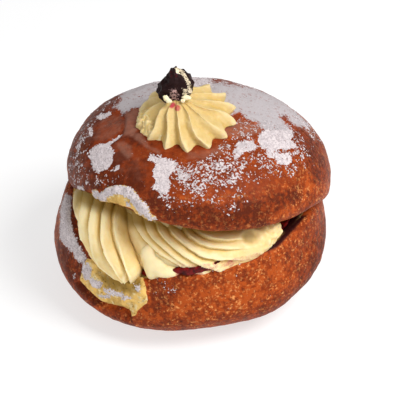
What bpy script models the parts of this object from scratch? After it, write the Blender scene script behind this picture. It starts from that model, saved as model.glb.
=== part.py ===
"""Cream-filled doughnut: a round bun, split and hinged at the back, with jam and piped cream in its mouth,
a piped cream rosette on the lid and a piece of dark fruit set in the rosette.

Metres, +Z up. The origin is on the table under the middle of the whole thing. The mouth faces -Y.
Azimuths are in degrees round the bun: 0 is the front (-Y), 90 the right (+X), -90 the left (-X)."""

import math

import bpy
import numpy as np
from mathutils import Euler, Vector, noise

MM = 0.001
GAP = 0.3 * MM  # clearance between neighbouring pieces
SHIFT = (0.77, -0.86)  # millimetres from where the shapes below are drawn to over the origin

# Lower half of the bun. Knots round it are (azimuth in degrees, millimetres).
BASE_CENTRE = (-0.8 * MM, 0.0)
BASE_RADIUS = [(-180, 50.5), (-135, 51), (-90, 52.3), (-45, 52.1), (0, 49.6), (20, 49.6), (40, 50.8),
               (65, 51.6), (90, 51.6), (135, 51)]
BASE_BULGE_HEIGHT = [(-180, 22), (-90, 18), (-35, 15), (5, 17.5), (25, 18.5), (45, 18), (70, 21), (90, 24),
                     (135, 24)]
SOLE_FULLNESS = 0.9  # 1 is a quarter of an ellipse, less is fuller
FOOT_RADIUS = 15 * MM
SOLE_STEPS = 7
BASE_SHOULDER_REACH = 0.55  # share of the radius over which the side leans in above its bulge
BASE_SHOULDER_HEIGHT = 25 * MM
SHOULDER_STEPS = 3
BASE_LIP = [(-180, 41), (-125, 40), (-102, 38), (-88, 37), (-66, 35.5), (-50, 33), (-33, 28.5),
            (-22, 29.5), (-13, 33), (-2, 34.7), (12, 36.5), (25, 38), (45, 38.3), (60, 39.7), (75, 40.7),
            (92, 39), (125, 41)]
BASE_FLOOR_HEIGHT = 30 * MM  # of the cut face at the middle
BASE_FLOOR_POWER = 2  # by which the cut face climbs towards the lip

# Lid
LID_CENTRE = (2.5 * MM, 3.0 * MM)
LID_RADIUS = [(-180, 49), (-90, 49.2), (-40, 49.2), (0, 50), (45, 50.4), (90, 49.4), (135, 49)]
LID_EQUATOR_HEIGHT = 45.5 * MM
LID_LEAN = 6.5 * MM  # rise of its widest line towards LID_LEAN_AZIMUTH, where the mouth gapes widest
LID_LEAN_AZIMUTH = -25
LID_LEAN_FADE = 2.3  # power by which the lean fades towards the top
LID_DOME_HEIGHT = 28.7 * MM
LID_DOME_FULLNESS = 0.77  # 1 is an ellipse, less is fuller at the shoulder
LID_UNDERCUT_HEIGHT = 20 * MM  # how fast the lid's side turns in below its equator
DOME_STEPS = 10
LID_LIP = [(-180, 32), (-125, 32), (-103, 36), (-88, 40.5), (-74, 45.5), (-65, 49), (-55, 53), (-44, 55),
           (-35, 55.5), (-23, 54.5), (-3, 53), (12, 51.5), (24, 50.5), (37, 49), (49, 47.5), (59, 46),
           (68, 43.5), (84, 37), (100, 33), (125, 32)]
LID_CEILING_HEIGHT = 43 * MM  # of the cut face at the middle
LID_CEILING_POWER = 1.3  # by which the cut face climbs towards the lip

# Lips of both halves
LIP_ROUNDING = 4.0 * MM
LIP_STEPS = 4
LIP_MARGIN = 1.6  # the side reaches the lip's level within this many roundings of it
STEEPEST = 0.9  # sine of the steepest lean that a side takes
CUT_FACE_SHARES = (0.85, 0.65, 0.45, 0.22, 0)

# Unevenness of the dough
DOUGH_SWELL = 0.7 * MM
DOUGH_SWELL_SIZE = 21 * MM
SEGMENTS = 64

# Tear at the front left, where the crust of the lower half has split down to the crumb
TEAR_AZIMUTH = -38
TEAR_HALF_WIDTH = 23
TEAR_HEIGHT = 24 * MM
TEAR_HALF_HEIGHT = 10 * MM
TEAR_DEPTH = 2.4 * MM
TEAR_FROM = 0.6  # share of the radius beyond which the side is torn

# Jam on the lower cut face
JAM_THICKNESS = 1.8 * MM
# How far out the cream stands on the level of the jam, and where the jam itself ends
JAM_SHEET = [(-180, 12), (-120, 20), (-95, 34), (-60, 38), (-30, 40), (-15, 49), (0, 58), (15, 52), (32, 46),
             (55, 44), (80, 42), (110, 26)]
JAM_EDGE = [(-180, 40), (-120, 45), (-60, 48), (-30, 46), (-15, 44), (-7, 46), (2, 46.5), (10, 46), (18, 44),
            (28, 43), (50, 42), (80, 41), (110, 40)]
JAM_EDGE_HEIGHTS = (15 * MM, 60 * MM)
JAM_SINK = 1.5 * MM
JAM_CLEARANCE = 0.5 * MM  # to the cream, more than elsewhere because the sheet's faces aren't flat
CLEARING_SINK = 12 * MM
# Shares of reach and of thickness, from the middle below to the middle above
JAM_PROFILE = ((0, 0), (0.5, 0), (0.97, 0), (1, 0.5), (0.95, 1), (0.5, 1), (0, 1))

# Piped cream in the mouth: two ropes from one star nozzle, over a core that runs back through the bun.
# Paths, radii, centres and sizes are in millimetres.
NOZZLE_TEETH = 14
TOOTH_SAMPLES = 4
TOOTH_VALLEY = 0.75  # share of a tooth's width at which its long slope ends
TOOTH_POWER = 0.8  # less is a sharper ridge on the rosette
ROPE_TOOTH_DEPTH = 0.19
ROPE_END = ((0.8, 0.35), (0.45, 0.6), (0, 0.7))  # shares of the radius, out from and beyond a rope's end
ROPE_FADE = 0.3  # share of the rope over which its ridges fade out
LEFT_ROPE = [(-24, 4, 46.5), (-31.3, -7.8, 44.3), (-32.5, -19.3, 43), (-28.4, -30.6, 34.4),
             (-21.8, -37.9, 29.8)]
LEFT_ROPE_RADII = [11.0, 11.2, 11.6, 8.2, 5.9]
LEFT_ROPE_TURN = [190, 225, 266, 318, 357]  # degrees that a crest has turned to at each point of the path
LEFT_ROPE_TEETH = 12
LEFT_ROPE_RINGS = 16
RIGHT_ROPE = [(-18, -10, 48), (-16, -21, 43.5), (-10.5, -30, 38), (2.5, -36, 38.5), (15, -34.5, 40),
              (23, -33, 41.3), (29.5, -30, 44)]
RIGHT_ROPE_RADII = [9.5, 10.0, 10.0, 9.5, 7.8, 5.8, 3.6]
RIGHT_ROPE_TURN = [250, 268, 300, 356, 405, 450, 480]
RIGHT_ROPE_RINGS = 20
RIGHT_ROPE_FADE_FROM = 0.5
SMEAR_CENTRE = (-12.5, -39.5, 34.0)
SMEAR_RADII = (8.5, 5.5, 6.5)
SMEAR_RINGS = 8
CORE_REACH = [(-180, 34), (-60, 34), (30, 34), (50, 30), (80, 29), (115, 33)]
CORE_HEIGHTS = (26 * MM, 66 * MM)

# Rosette on the lid
ROSETTE_CENTRE = (-1.8, -4.2, 73.5)
ROSETTE_RADII = (18.0, 20.5)
ROSETTE_HEIGHT = 10.5
ROSETTE_LEAN = (5, -2, 0)  # degrees that it follows the slope of the lid, about X, Y and Z
ROSETTE_APEX_SHIFT = (-3.0, -1.5)
ROSETTE_TWIST = 20  # degrees from the foot of a ridge to the top
ROSETTE_TOOTH_DEPTH = 0.17
ROSETTE_PROFILE = ((0.86, -0.3), (0.97, 0), (1, 0.1), (0.93, 0.25), (0.81, 0.42), (0.66, 0.6), (0.49, 0.77),
                   (0.31, 0.91), (0.14, 0.985))  # shares of radius and height, from below the foot to the top
SKIRT_SPAN = (-140, -62)  # azimuths of the first, lower turn, which shows at the left
SKIRT_REACH = 14.0
SKIRT_RADIUS = 4.3
SKIRT_RINGS = 7
SKIRT_SAMPLES = 2
SKIRT_TAPER = (0.7, 1.0, 1.05, 1.0, 0.7)

# Piece of dark fruit
FRUIT_CENTRE = (-5.6, -4.4, 87.3)
FRUIT_SIZE = (13.5, 11.0, 14.0)
FRUIT_TURN = (18, 30, 20)
FRUIT_SQUARENESS = 0.62  # 0 is a ball, 1 is a block
FRUIT_TAPER = 0.7  # how fast it narrows towards its top
FRUIT_FACETS = 0.16
FRUIT_FACET_SCALE = 1.7
FRUIT_RINGS = 8
FRUIT_SIDES = 12

COLOURS = {
    "bun": ((0.42, 0.13, 0.035, 1), 0.55),
    "jam": ((0.10, 0.004, 0.006, 1), 0.15),
    "cream_filling": ((0.86, 0.68, 0.32, 1), 0.5),
    "cream_rosette": ((0.88, 0.71, 0.36, 1), 0.5),
    "fruit_piece": ((0.012, 0.004, 0.005, 1), 0.3),
}


def around(knots, azimuth):
    """Smooth value at an azimuth, by a cubic through (degrees, value) knots that go once round."""
    angles = [a for a, _ in knots]
    values = [v for _, v in knots]
    count = len(knots)
    azimuth = (azimuth - angles[0]) % 360 + angles[0]
    i = max(k for k in range(count) if angles[k] <= azimuth)

    def knot(k):
        turns, index = divmod(k, count)
        return angles[index] + 360 * turns, values[index]

    (a0, v0), (a1, v1), (a2, v2), (a3, v3) = (knot(i + k) for k in (-1, 0, 1, 2))
    span = a2 - a1
    t = (azimuth - a1) / span
    slope1 = span * (v2 - v0) / (a2 - a0)
    slope2 = span * (v3 - v1) / (a3 - a1)
    return (
        (2 * t**3 - 3 * t**2 + 1) * v1
        + (t**3 - 2 * t**2 + t) * slope1
        + (3 * t**2 - 2 * t**3) * v2
        + (t**3 - t**2) * slope2
    )


def along(points, t):
    """Point on a smooth line through points, at t from 0 to 1, by a cubic through them."""
    points = np.asarray(points, float)
    place = t * (len(points) - 1)
    i = min(int(place), len(points) - 2)
    t = place - i
    before = points[i - 1] if i else 2 * points[0] - points[1]
    after = points[i + 2] if i + 2 < len(points) else 2 * points[-1] - points[-2]
    slope1 = (points[i + 1] - before) / 2
    slope2 = (after - points[i]) / 2
    return (
        (2 * t**3 - 3 * t**2 + 1) * points[i]
        + (t**3 - 2 * t**2 + t) * slope1
        + (3 * t**2 - 2 * t**3) * points[i + 1]
        + (t**3 - t**2) * slope2
    )


def polar(centre, radius, azimuth, height):
    """Point at a radius and azimuth from a centre."""
    angle = math.radians(azimuth)
    return centre[0] + radius * math.sin(angle), centre[1] - radius * math.cos(angle), height


def direction(polar_angle, round_angle):
    """Unit vector at an angle up from straight down and an angle round the Z axis."""
    return Vector((
        math.sin(polar_angle) * math.cos(round_angle),
        math.sin(polar_angle) * math.sin(round_angle),
        -math.cos(polar_angle),
    ))


def mesh_object(name, points, faces):
    """New smooth-shaded object in the scene from points and faces."""
    mesh = bpy.data.meshes.new(name)
    mesh.from_pydata(points, [], faces)
    mesh.update()
    mesh.shade_smooth()
    obj = bpy.data.objects.new(name, mesh)
    bpy.context.scene.collection.objects.link(obj)
    return obj


def revolve(name, rings):
    """Closed mesh from rings of points. The first and last rings are single points."""
    count = len(rings[1])
    points = [rings[0][0]]
    for ring in rings[1:-1]:
        points += ring
    points.append(rings[-1][0])
    points = [(x + SHIFT[0] * MM, y + SHIFT[1] * MM, z) for x, y, z in points]
    last = len(points) - 1
    faces = []
    for k in range(count):
        following = (k + 1) % count
        faces.append((0, 1 + following, 1 + k))
        for ring in range(len(rings) - 3):
            low = 1 + ring * count
            high = low + count
            faces.append((low + k, low + following, high + following, high + k))
        top = last - count
        faces.append((top + k, top + following, last))
    return mesh_object(name, points, faces)


def grow(obj, distance):
    """Moves every point of a closed mesh out along its normal."""
    normals = [v.normal.copy() for v in obj.data.vertices]
    for vertex, normal in zip(obj.data.vertices, normals):
        vertex.co += normal * distance
    return obj


def roughen(obj):
    """Gives the dough its slow swells, and keeps its foot flat."""
    normals = [v.normal.copy() for v in obj.data.vertices]
    for vertex, normal in zip(obj.data.vertices, normals):
        if vertex.co.z > 0:
            vertex.co += normal * DOUGH_SWELL * noise.noise(vertex.co / DOUGH_SWELL_SIZE)
            vertex.co.z = max(vertex.co.z, 0)
    return obj


def combine(obj, other, operation):
    """Applies a Boolean of obj with other, and removes other."""
    modifier = obj.modifiers.new(operation.lower(), "BOOLEAN")
    modifier.operation = operation
    modifier.solver = "EXACT"
    modifier.object = other
    graph = bpy.context.evaluated_depsgraph_get()
    result = bpy.data.meshes.new_from_object(obj.evaluated_get(graph))
    obj.modifiers.clear()
    obj.data = result
    bpy.data.objects.remove(other)
    return obj


def largest_body(obj):
    """Drops the small scraps that a cut leaves, and keeps the connected body of the largest volume."""
    mesh = obj.data
    parent = list(range(len(mesh.vertices)))

    def root(i):
        while parent[i] != i:
            parent[i] = parent[parent[i]]
            i = parent[i]
        return i

    for edge in mesh.edges:
        a, b = (root(v) for v in edge.vertices)
        parent[a] = b
    volumes = {}
    for face in mesh.polygons:
        body = root(face.vertices[0])
        volumes[body] = volumes.get(body, 0) + face.area * face.center.dot(face.normal)
    largest = max(volumes, key=volumes.get)
    kept = [i for i in range(len(parent)) if root(i) == largest]
    index = {old: new for new, old in enumerate(kept)}
    points = [mesh.vertices[i].co.copy() for i in kept]
    faces = [[index[v] for v in p.vertices] for p in mesh.polygons if p.vertices[0] in index]
    name = obj.name
    bpy.data.objects.remove(obj)
    return mesh_object(name, points, faces)


def tear_depth(azimuth, height):
    """How far the torn crust sits back from the round of the bun."""
    across = (azimuth - TEAR_AZIMUTH) / TEAR_HALF_WIDTH
    up = (height - TEAR_HEIGHT) / TEAR_HALF_HEIGHT
    share = max(0.0, 1 - across**4 - up**4)
    return TEAR_DEPTH * share**0.5


def base_floor(azimuth, share):
    """Height of the lower cut face at a share of the way out to its lip."""
    lip = around(BASE_LIP, azimuth) * MM
    return BASE_FLOOR_HEIGHT + (lip - BASE_FLOOR_HEIGHT) * share**BASE_FLOOR_POWER


def base_lip_centre(azimuth):
    """Radius and height of the middle of the lip's rounding, and the angle of its outer end."""
    radius = around(BASE_RADIUS, azimuth) * MM
    bulge = around(BASE_BULGE_HEIGHT, azimuth) * MM
    lip = around(BASE_LIP, azimuth) * MM
    reach = radius * BASE_SHOULDER_REACH
    sine = (lip - LIP_MARGIN * LIP_ROUNDING - bulge) / BASE_SHOULDER_HEIGHT
    lean = math.asin(min(STEEPEST, max(-STEEPEST, sine)))
    edge = radius - reach * (1 - math.cos(lean))
    up = math.atan2(math.sin(lean) / BASE_SHOULDER_HEIGHT, math.cos(lean) / reach)
    centre = edge - LIP_ROUNDING * math.cos(up)
    return centre, lip - LIP_ROUNDING, lean, up


def base_profile(azimuth):
    """Radii and heights of the lower half, from the middle of its foot up its side and over its lip."""
    radius = around(BASE_RADIUS, azimuth) * MM
    bulge = around(BASE_BULGE_HEIGHT, azimuth) * MM
    profile = [(0, 0), (FOOT_RADIUS / 2, 0), (FOOT_RADIUS, 0)]
    for step in range(1, SOLE_STEPS + 1):
        angle = math.pi / 2 * step / SOLE_STEPS
        profile.append((
            FOOT_RADIUS + (radius - FOOT_RADIUS) * math.sin(angle) ** SOLE_FULLNESS,
            bulge * (1 - math.cos(angle)),
        ))
    centre, centre_height, lean, up = base_lip_centre(azimuth)
    reach = radius * BASE_SHOULDER_REACH
    for step in range(1, SHOULDER_STEPS):
        angle = lean * step / SHOULDER_STEPS
        profile.append((
            radius - reach * (1 - math.cos(angle)),
            bulge + BASE_SHOULDER_HEIGHT * math.sin(angle),
        ))
    for step in range(LIP_STEPS + 1):
        angle = up + (math.pi / 2 - up) * step / LIP_STEPS
        profile.append((
            centre + LIP_ROUNDING * math.cos(angle),
            centre_height + LIP_ROUNDING * math.sin(angle),
        ))
    for share in CUT_FACE_SHARES:
        profile.append((centre * share, base_floor(azimuth, share)))
    return [
        (r - (tear_depth(azimuth, z) if r > TEAR_FROM * radius else 0), z)
        for r, z in profile
    ]


def lid_rise(azimuth):
    """How far the lean lifts the lid's widest line at an azimuth."""
    return LID_LEAN * math.cos(math.radians(azimuth - LID_LEAN_AZIMUTH))


def lid_equator(azimuth):
    """Height of the lid's widest line, which leans up towards the open side."""
    return LID_EQUATOR_HEIGHT + lid_rise(azimuth)


def lid_ceiling(azimuth, share):
    """Height of the upper cut face at a share of the way out to its lip."""
    lip = around(LID_LIP, azimuth) * MM
    return LID_CEILING_HEIGHT + (lip - LID_CEILING_HEIGHT) * share**LID_CEILING_POWER


def lid_lip_centre(azimuth):
    """Radius and height of the middle of the lip's rounding, and the angle of its outer end."""
    radius = around(LID_RADIUS, azimuth) * MM
    lip = around(LID_LIP, azimuth) * MM
    rise = lip + LIP_MARGIN * LIP_ROUNDING - lid_equator(azimuth)
    height = LID_DOME_HEIGHT if rise > 0 else LID_UNDERCUT_HEIGHT
    lean = math.asin(max(-STEEPEST, min(STEEPEST, rise / height)))
    up = math.atan2(math.sin(lean) / height, math.cos(lean) / radius)
    centre = radius * math.cos(lean) ** LID_DOME_FULLNESS - LIP_ROUNDING * math.cos(up)
    return centre, lip + LIP_ROUNDING, lean, up


def lid_profile(azimuth):
    """Radii and heights of the lid from the middle of its cut face, out round its lip and over its dome."""
    radius = around(LID_RADIUS, azimuth) * MM
    centre, centre_height, lean, up = lid_lip_centre(azimuth)
    profile = [(centre * share, lid_ceiling(azimuth, share)) for share in reversed(CUT_FACE_SHARES)]
    for step in range(LIP_STEPS + 1):
        angle = -math.pi / 2 + (up + math.pi / 2) * step / LIP_STEPS
        profile.append((
            centre + LIP_ROUNDING * math.cos(angle),
            centre_height + LIP_ROUNDING * math.sin(angle),
        ))
    for step in range(1, DOME_STEPS + 1):
        angle = lean + (math.pi / 2 - lean) * step / DOME_STEPS
        share = max(0.0, math.cos(angle)) ** LID_DOME_FULLNESS
        height = LID_DOME_HEIGHT if angle > 0 else LID_UNDERCUT_HEIGHT
        level = LID_EQUATOR_HEIGHT + lid_rise(azimuth) * share**LID_LEAN_FADE
        profile.append((radius * share, level + height * math.sin(angle)))
    return profile


def half_of_bun(name, profile_at, centre):
    """One half of the bun from its profile at each azimuth."""
    azimuths = [-180 + 360 * k / SEGMENTS for k in range(SEGMENTS)]
    profiles = [profile_at(a) for a in azimuths]
    rings = []
    for step in range(len(profiles[0])):
        rings.append([polar(centre, p[step][0], a, p[step][1]) for a, p in zip(azimuths, profiles)])
    return roughen(revolve(name, rings))


def make_base(name):
    """Lower half, from its flat foot to the cut face that the jam lies on."""
    return half_of_bun(name, base_profile, BASE_CENTRE)


def make_lid(name):
    """Upper half, from its cut face to the top of its dome."""
    return half_of_bun(name, lid_profile, LID_CENTRE)


def make_bun():
    """Both halves, joined through the uncut dough at the back."""
    return combine(make_base("bun"), make_lid("lid"), "UNION")


def cut_clear(obj, keep_off):
    """Cuts obj back from other pieces, which are already larger by the clearance."""
    for other in keep_off:
        combine(obj, other, "DIFFERENCE")
    return largest_body(obj)


def grown_halves():
    """Both halves of the bun, larger all round by the clearance."""
    return [grow(make_base("grown_base"), GAP), grow(make_lid("grown_lid"), GAP)]


def drum(name, reach_knots, low, high):
    """Upright drum round the middle of the lower half, out to the knots."""
    count = SEGMENTS // 2
    azimuths = [-180 + 360 * k / count for k in range(count)]
    rings = [
        [polar(BASE_CENTRE, around(reach_knots, a) * MM * share, a, height) for a in azimuths]
        for share, height in ((0, low), (1, low), (1, high), (0, high))
    ]
    return revolve(name, rings)


def jam_sheet(name, sink, extra=0.0):
    """Sheet on the lower cut face, sunk into it, that is as thick as the jam. A cutter is larger by extra."""
    count = SEGMENTS // 2
    azimuths = [-180 + 360 * k / count for k in range(count)]
    rings = []
    for share, lift in JAM_PROFILE:
        ring = []
        for azimuth in azimuths:
            reach = around(JAM_SHEET, azimuth) * MM * share
            floor = base_floor(azimuth, reach / base_lip_centre(azimuth)[0])
            height = floor + (lift * JAM_THICKNESS if lift else -sink)
            ring.append(polar(BASE_CENTRE, reach, azimuth, height))
        rings.append(ring)
    return grow(revolve(name, rings), extra)


def make_jam():
    """Jam between the lower cut face and the cream, clear of the bun."""
    jam = combine(jam_sheet("jam", JAM_SINK), drum("edge", JAM_EDGE, *JAM_EDGE_HEIGHTS), "INTERSECT")
    return cut_clear(jam, grown_halves())


def tooth(place):
    """Height of a star nozzle's ridge at a place across one tooth, from 0 to 1: a sharp crest, a long round
    slope down to the valley, then a steep rise to the next crest."""
    place %= 1
    if place < TOOTH_VALLEY:
        return math.cos(math.pi / 2 * place / TOOTH_VALLEY)
    return (place - TOOTH_VALLEY) / (1 - TOOTH_VALLEY)


def rope(name, path, radii, rings, turn, teeth=NOZZLE_TEETH, samples=TOOTH_SAMPLES, fade_from=1.0):
    """Rope of piped cream along a path, in millimetres, with round ends. Its ridges wind round it by the turn
    at each point of the path, and fade out from a share of it."""
    count = teeth * samples
    shares = [k / (rings - 1) for k in range(rings)]
    centres = [Vector(along(path, t)) for t in shares]
    sizes = [float(along([[r] for r in radii], t)[0]) for t in shares]
    layers = []
    for k, (centre, size, share) in enumerate(zip(centres, sizes, shares)):
        ahead = (centres[min(k + 1, rings - 1)] - centres[max(k - 1, 0)]).normalized()
        side = ahead.cross(Vector((0, 0, 1))).normalized()
        up = side.cross(ahead)
        depth = ROPE_TOOTH_DEPTH * min(1.0, max(0.0, 1 - (share - fade_from) / ROPE_FADE))
        start = math.radians(float(along([[t] for t in turn], share)[0]))
        layer = []
        for j in range(count):
            angle = start + 2 * math.pi * j / count
            out = size * (1 - depth * (1 - tooth(-j / samples)))
            layer.append(centre + out * (math.cos(angle) * side - math.sin(angle) * up))
        layers.append(layer)
        if k in (0, rings - 1):
            sign = -1 if k == 0 else 1
            end = [rope_end(layer, centre, sign * ahead * size, s, h) for s, h in ROPE_END]
            layers = [*end[::-1], *layers] if k == 0 else [*layers, *end]
    return revolve(name, [[tuple(p * MM) for p in layer] for layer in layers])


def rope_end(layer, centre, beyond, share, reach):
    """One ring of a rope's round end, at a share of the last ring's radius and at a reach beyond it."""
    return [centre + share * (point - centre) + beyond * reach for point in layer]


def ellipsoid(name, centre, radii):
    """Closed ellipsoid, in millimetres."""
    layers = []
    for k in range(SMEAR_RINGS + 1):
        turns = [math.pi * j / SMEAR_RINGS for j in range(2 * SMEAR_RINGS)]
        outs = [direction(math.pi * k / SMEAR_RINGS, turn) for turn in turns]
        layers.append([tuple((c + r * d) * MM for c, r, d in zip(centre, radii, out)) for out in outs])
    return revolve(name, layers)


def make_filling():
    """Cream in the mouth: the two ropes and the smear between them, on the core, clear of the jam and bun."""
    filling = rope("cream_filling", LEFT_ROPE, LEFT_ROPE_RADII, LEFT_ROPE_RINGS, LEFT_ROPE_TURN,
                   LEFT_ROPE_TEETH)
    right = rope("right", RIGHT_ROPE, RIGHT_ROPE_RADII, RIGHT_ROPE_RINGS, RIGHT_ROPE_TURN,
                 fade_from=RIGHT_ROPE_FADE_FROM)
    smear = ellipsoid("smear", SMEAR_CENTRE, SMEAR_RADII)
    for other in (right, smear, drum("core", CORE_REACH, *CORE_HEIGHTS)):
        combine(filling, other, "UNION")
    return cut_clear(filling, [*grown_halves(), jam_sheet("grown_jam", CLEARING_SINK, JAM_CLEARANCE)])


def star(azimuth, twist, depth):
    """Share of the full radius at an azimuth of the rosette. Its teeth have sharp tips and round valleys."""
    phase = math.radians(azimuth - twist) * NOZZLE_TEETH / 2
    return 1 - depth * abs(math.sin(phase)) ** TOOTH_POWER


def on_rosette(x, y, z):
    """Point of the scene from a point measured from the middle of the rosette's foot, on the lid's slope."""
    lean = Euler([math.radians(a) for a in ROSETTE_LEAN])
    point = Vector((x, y, z))
    point.rotate(lean)
    return tuple((Vector(ROSETTE_CENTRE) + point) * MM)


def rosette_mound(name):
    """Ridged mound whose ridges lean over to an apex left of its middle."""
    count = NOZZLE_TEETH * TOOTH_SAMPLES
    rings = [[on_rosette(0, 0, ROSETTE_PROFILE[0][1] * ROSETTE_HEIGHT)] * count]
    for radius, height in ROSETTE_PROFILE:
        climb = 1 - radius if height > 0 else 0
        depth = ROSETTE_TOOTH_DEPTH * (1 + climb)
        ring = []
        for j in range(count):
            azimuth = 360 * j / count
            out = radius * star(azimuth, -ROSETTE_TWIST * climb, depth)
            x = ROSETTE_RADII[0] * out * math.sin(math.radians(azimuth)) + ROSETTE_APEX_SHIFT[0] * climb
            y = -ROSETTE_RADII[1] * out * math.cos(math.radians(azimuth)) + ROSETTE_APEX_SHIFT[1] * climb
            ring.append(on_rosette(x, y, height * ROSETTE_HEIGHT))
        rings.append(ring)
    rings.append([on_rosette(*ROSETTE_APEX_SHIFT, ROSETTE_HEIGHT)] * count)
    return revolve(name, rings)


def rosette_skirt(name):
    """First turn of the rosette, a low ridged bead that shows beyond the mound at the left."""
    path = []
    for azimuth in np.linspace(*SKIRT_SPAN, len(SKIRT_TAPER)):
        path.append(np.array(on_rosette(*polar((0, 0), SKIRT_REACH, azimuth, 0))) / MM)
    straight = [0] * len(path)
    radii = [SKIRT_RADIUS * t for t in SKIRT_TAPER]
    return rope(name, path, radii, SKIRT_RINGS, straight, samples=SKIRT_SAMPLES)


def make_rosette(fruit):
    """Rosette piped on top of the lid, with a hollow where the fruit is set in."""
    rosette = rosette_mound("cream_rosette")
    combine(rosette, rosette_skirt("skirt"), "UNION")
    cutter = fruit.copy()
    cutter.data = fruit.data.copy()
    bpy.context.scene.collection.objects.link(cutter)
    return cut_clear(rosette, [grow(make_lid("grown_lid"), GAP), grow(cutter, GAP)])


def make_fruit():
    """Rough chunk of dark fruit with flat cut faces and blunt edges."""
    turn = Euler([math.radians(a) for a in FRUIT_TURN])
    layers = []
    for k in range(FRUIT_RINGS + 1):
        layer = []
        for j in range(FRUIT_SIDES):
            out = direction(math.pi * k / FRUIT_RINGS, 2 * math.pi * j / FRUIT_SIDES)
            point = out.lerp(out / max(abs(c) for c in out), FRUIT_SQUARENESS)
            point *= 1 + FRUIT_FACETS * noise.noise(out * FRUIT_FACET_SCALE)
            point = Vector(c * s / 2 for c, s in zip(point, FRUIT_SIZE))
            point.rotate(turn)
            narrow = 1 - FRUIT_TAPER * max(0.0, point.z / FRUIT_SIZE[2])
            point = Vector((point.x * narrow, point.y * narrow, point.z))
            layer.append(tuple((Vector(FRUIT_CENTRE) + point) * MM))
        layers.append(layer)
    return revolve("fruit_piece", layers)


def finish(obj):
    """Gives a piece its material."""
    colour, roughness = COLOURS[obj.name]
    material = bpy.data.materials.new(obj.name)
    material.use_nodes = True
    shader = material.node_tree.nodes["Principled BSDF"]
    shader.inputs["Base Color"].default_value = colour
    shader.inputs["Roughness"].default_value = roughness
    shader.inputs["Metallic"].default_value = 0
    obj.data.materials.clear()
    obj.data.materials.append(material)


def main():
    """Builds the doughnut in an empty scene."""
    for obj in list(bpy.data.objects):
        bpy.data.objects.remove(obj)
    fruit = make_fruit()
    for piece in (make_bun(), make_jam(), make_filling(), make_rosette(fruit), fruit):
        finish(piece)


if __name__ == "__main__":
    main()
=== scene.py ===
"""Looks of the cream-filled doughnut: sugared crust, torn crumb, jam, piped cream and dark fruit.

Metres, +Z up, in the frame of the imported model: the mouth faces -Y and the table is at Z = 0. Azimuths
are in degrees round the bun: 0 is the front, 90 the right and -90 the left."""

import logging
import math
from dataclasses import dataclass, field
from enum import Enum
from typing import Sequence

import bpy
import numpy as np
from mathutils import Euler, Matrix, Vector, noise
from mathutils.bvhtree import BVHTree


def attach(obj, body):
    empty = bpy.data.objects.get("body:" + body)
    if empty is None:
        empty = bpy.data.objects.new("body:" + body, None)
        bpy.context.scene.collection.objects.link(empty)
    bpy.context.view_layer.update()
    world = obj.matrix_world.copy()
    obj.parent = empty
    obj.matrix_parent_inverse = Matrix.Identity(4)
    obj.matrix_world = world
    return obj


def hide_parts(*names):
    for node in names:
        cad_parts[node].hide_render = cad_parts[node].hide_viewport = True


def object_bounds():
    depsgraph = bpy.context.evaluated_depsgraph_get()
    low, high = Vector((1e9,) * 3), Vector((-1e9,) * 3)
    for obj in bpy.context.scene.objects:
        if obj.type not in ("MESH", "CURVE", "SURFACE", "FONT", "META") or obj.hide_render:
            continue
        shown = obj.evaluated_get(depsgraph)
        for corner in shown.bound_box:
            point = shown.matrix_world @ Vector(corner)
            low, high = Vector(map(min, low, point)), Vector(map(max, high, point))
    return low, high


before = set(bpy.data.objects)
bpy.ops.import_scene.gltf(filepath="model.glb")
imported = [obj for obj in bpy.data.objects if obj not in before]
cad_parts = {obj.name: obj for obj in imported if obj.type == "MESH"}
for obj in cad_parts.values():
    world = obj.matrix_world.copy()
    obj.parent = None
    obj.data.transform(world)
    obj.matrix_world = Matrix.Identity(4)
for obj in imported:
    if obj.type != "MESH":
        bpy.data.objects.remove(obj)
CAD_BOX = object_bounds()

LOG = logging.getLogger("doughnut")
MM = 0.001
SHIFT = np.array((0.77, -0.86, 0.0))  # millimetres from where the shapes are drawn to over the origin

Point = tuple[float, float, float]
Colour = tuple[float, float, float, float]
Knots = Sequence[tuple[float, float]]
Span = tuple[float, float]
Ramp = tuple[float, ...]
Swells = Sequence[tuple[float, float, float]]

MIX_INPUTS = (0, 6, 7)  # share, first and second colour of the mixing node
MIX_OUTPUT = 2
VALLEY_SHADE_FROM = 0.05  # shares of the full height from which the painted valley shade and crest highlight are marked
CREST_HIGHLIGHT_FROM = 0.15
FACING = (-0.02, 0.15)  # how far a surface is turned to the eye where it starts to show and shows fully
CLEAR = 0.4  # millimetres off the surface from which it is looked for in front of the eye


class Slot(Enum):
    """Finishes that the record names."""

    CRUST = "crust"
    JAM = "jam"
    CREAM = "cream"
    FRUIT = "fruit"


class Solid(Enum):
    """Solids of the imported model."""

    BUN = "bun"
    JAM = "jam"
    FILLING = "cream_filling"
    ROSETTE = "cream_rosette"
    FRUIT = "fruit_piece"


def rise(value: np.ndarray, start: float, end: float) -> np.ndarray:
    """Smooth step.

    Args:
        value: what is looked at.
        start: where the step is still 0.
        end: where the step has come to 1. It may be below start.

    Returns:
        Shares from 0 to 1.
    """
    share = np.clip((value - start) / (end - start), 0, 1)
    return share * share * (3 - 2 * share)


def turned(azimuth: np.ndarray, knots: Knots) -> np.ndarray:
    """Values at azimuths.

    Args:
        azimuth: in degrees.
        knots: (degrees, value) pairs that go once round.

    Returns:
        One value for each azimuth.
    """
    angles, values = zip(*knots)
    return np.interp(azimuth, angles, values, period=360)


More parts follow.
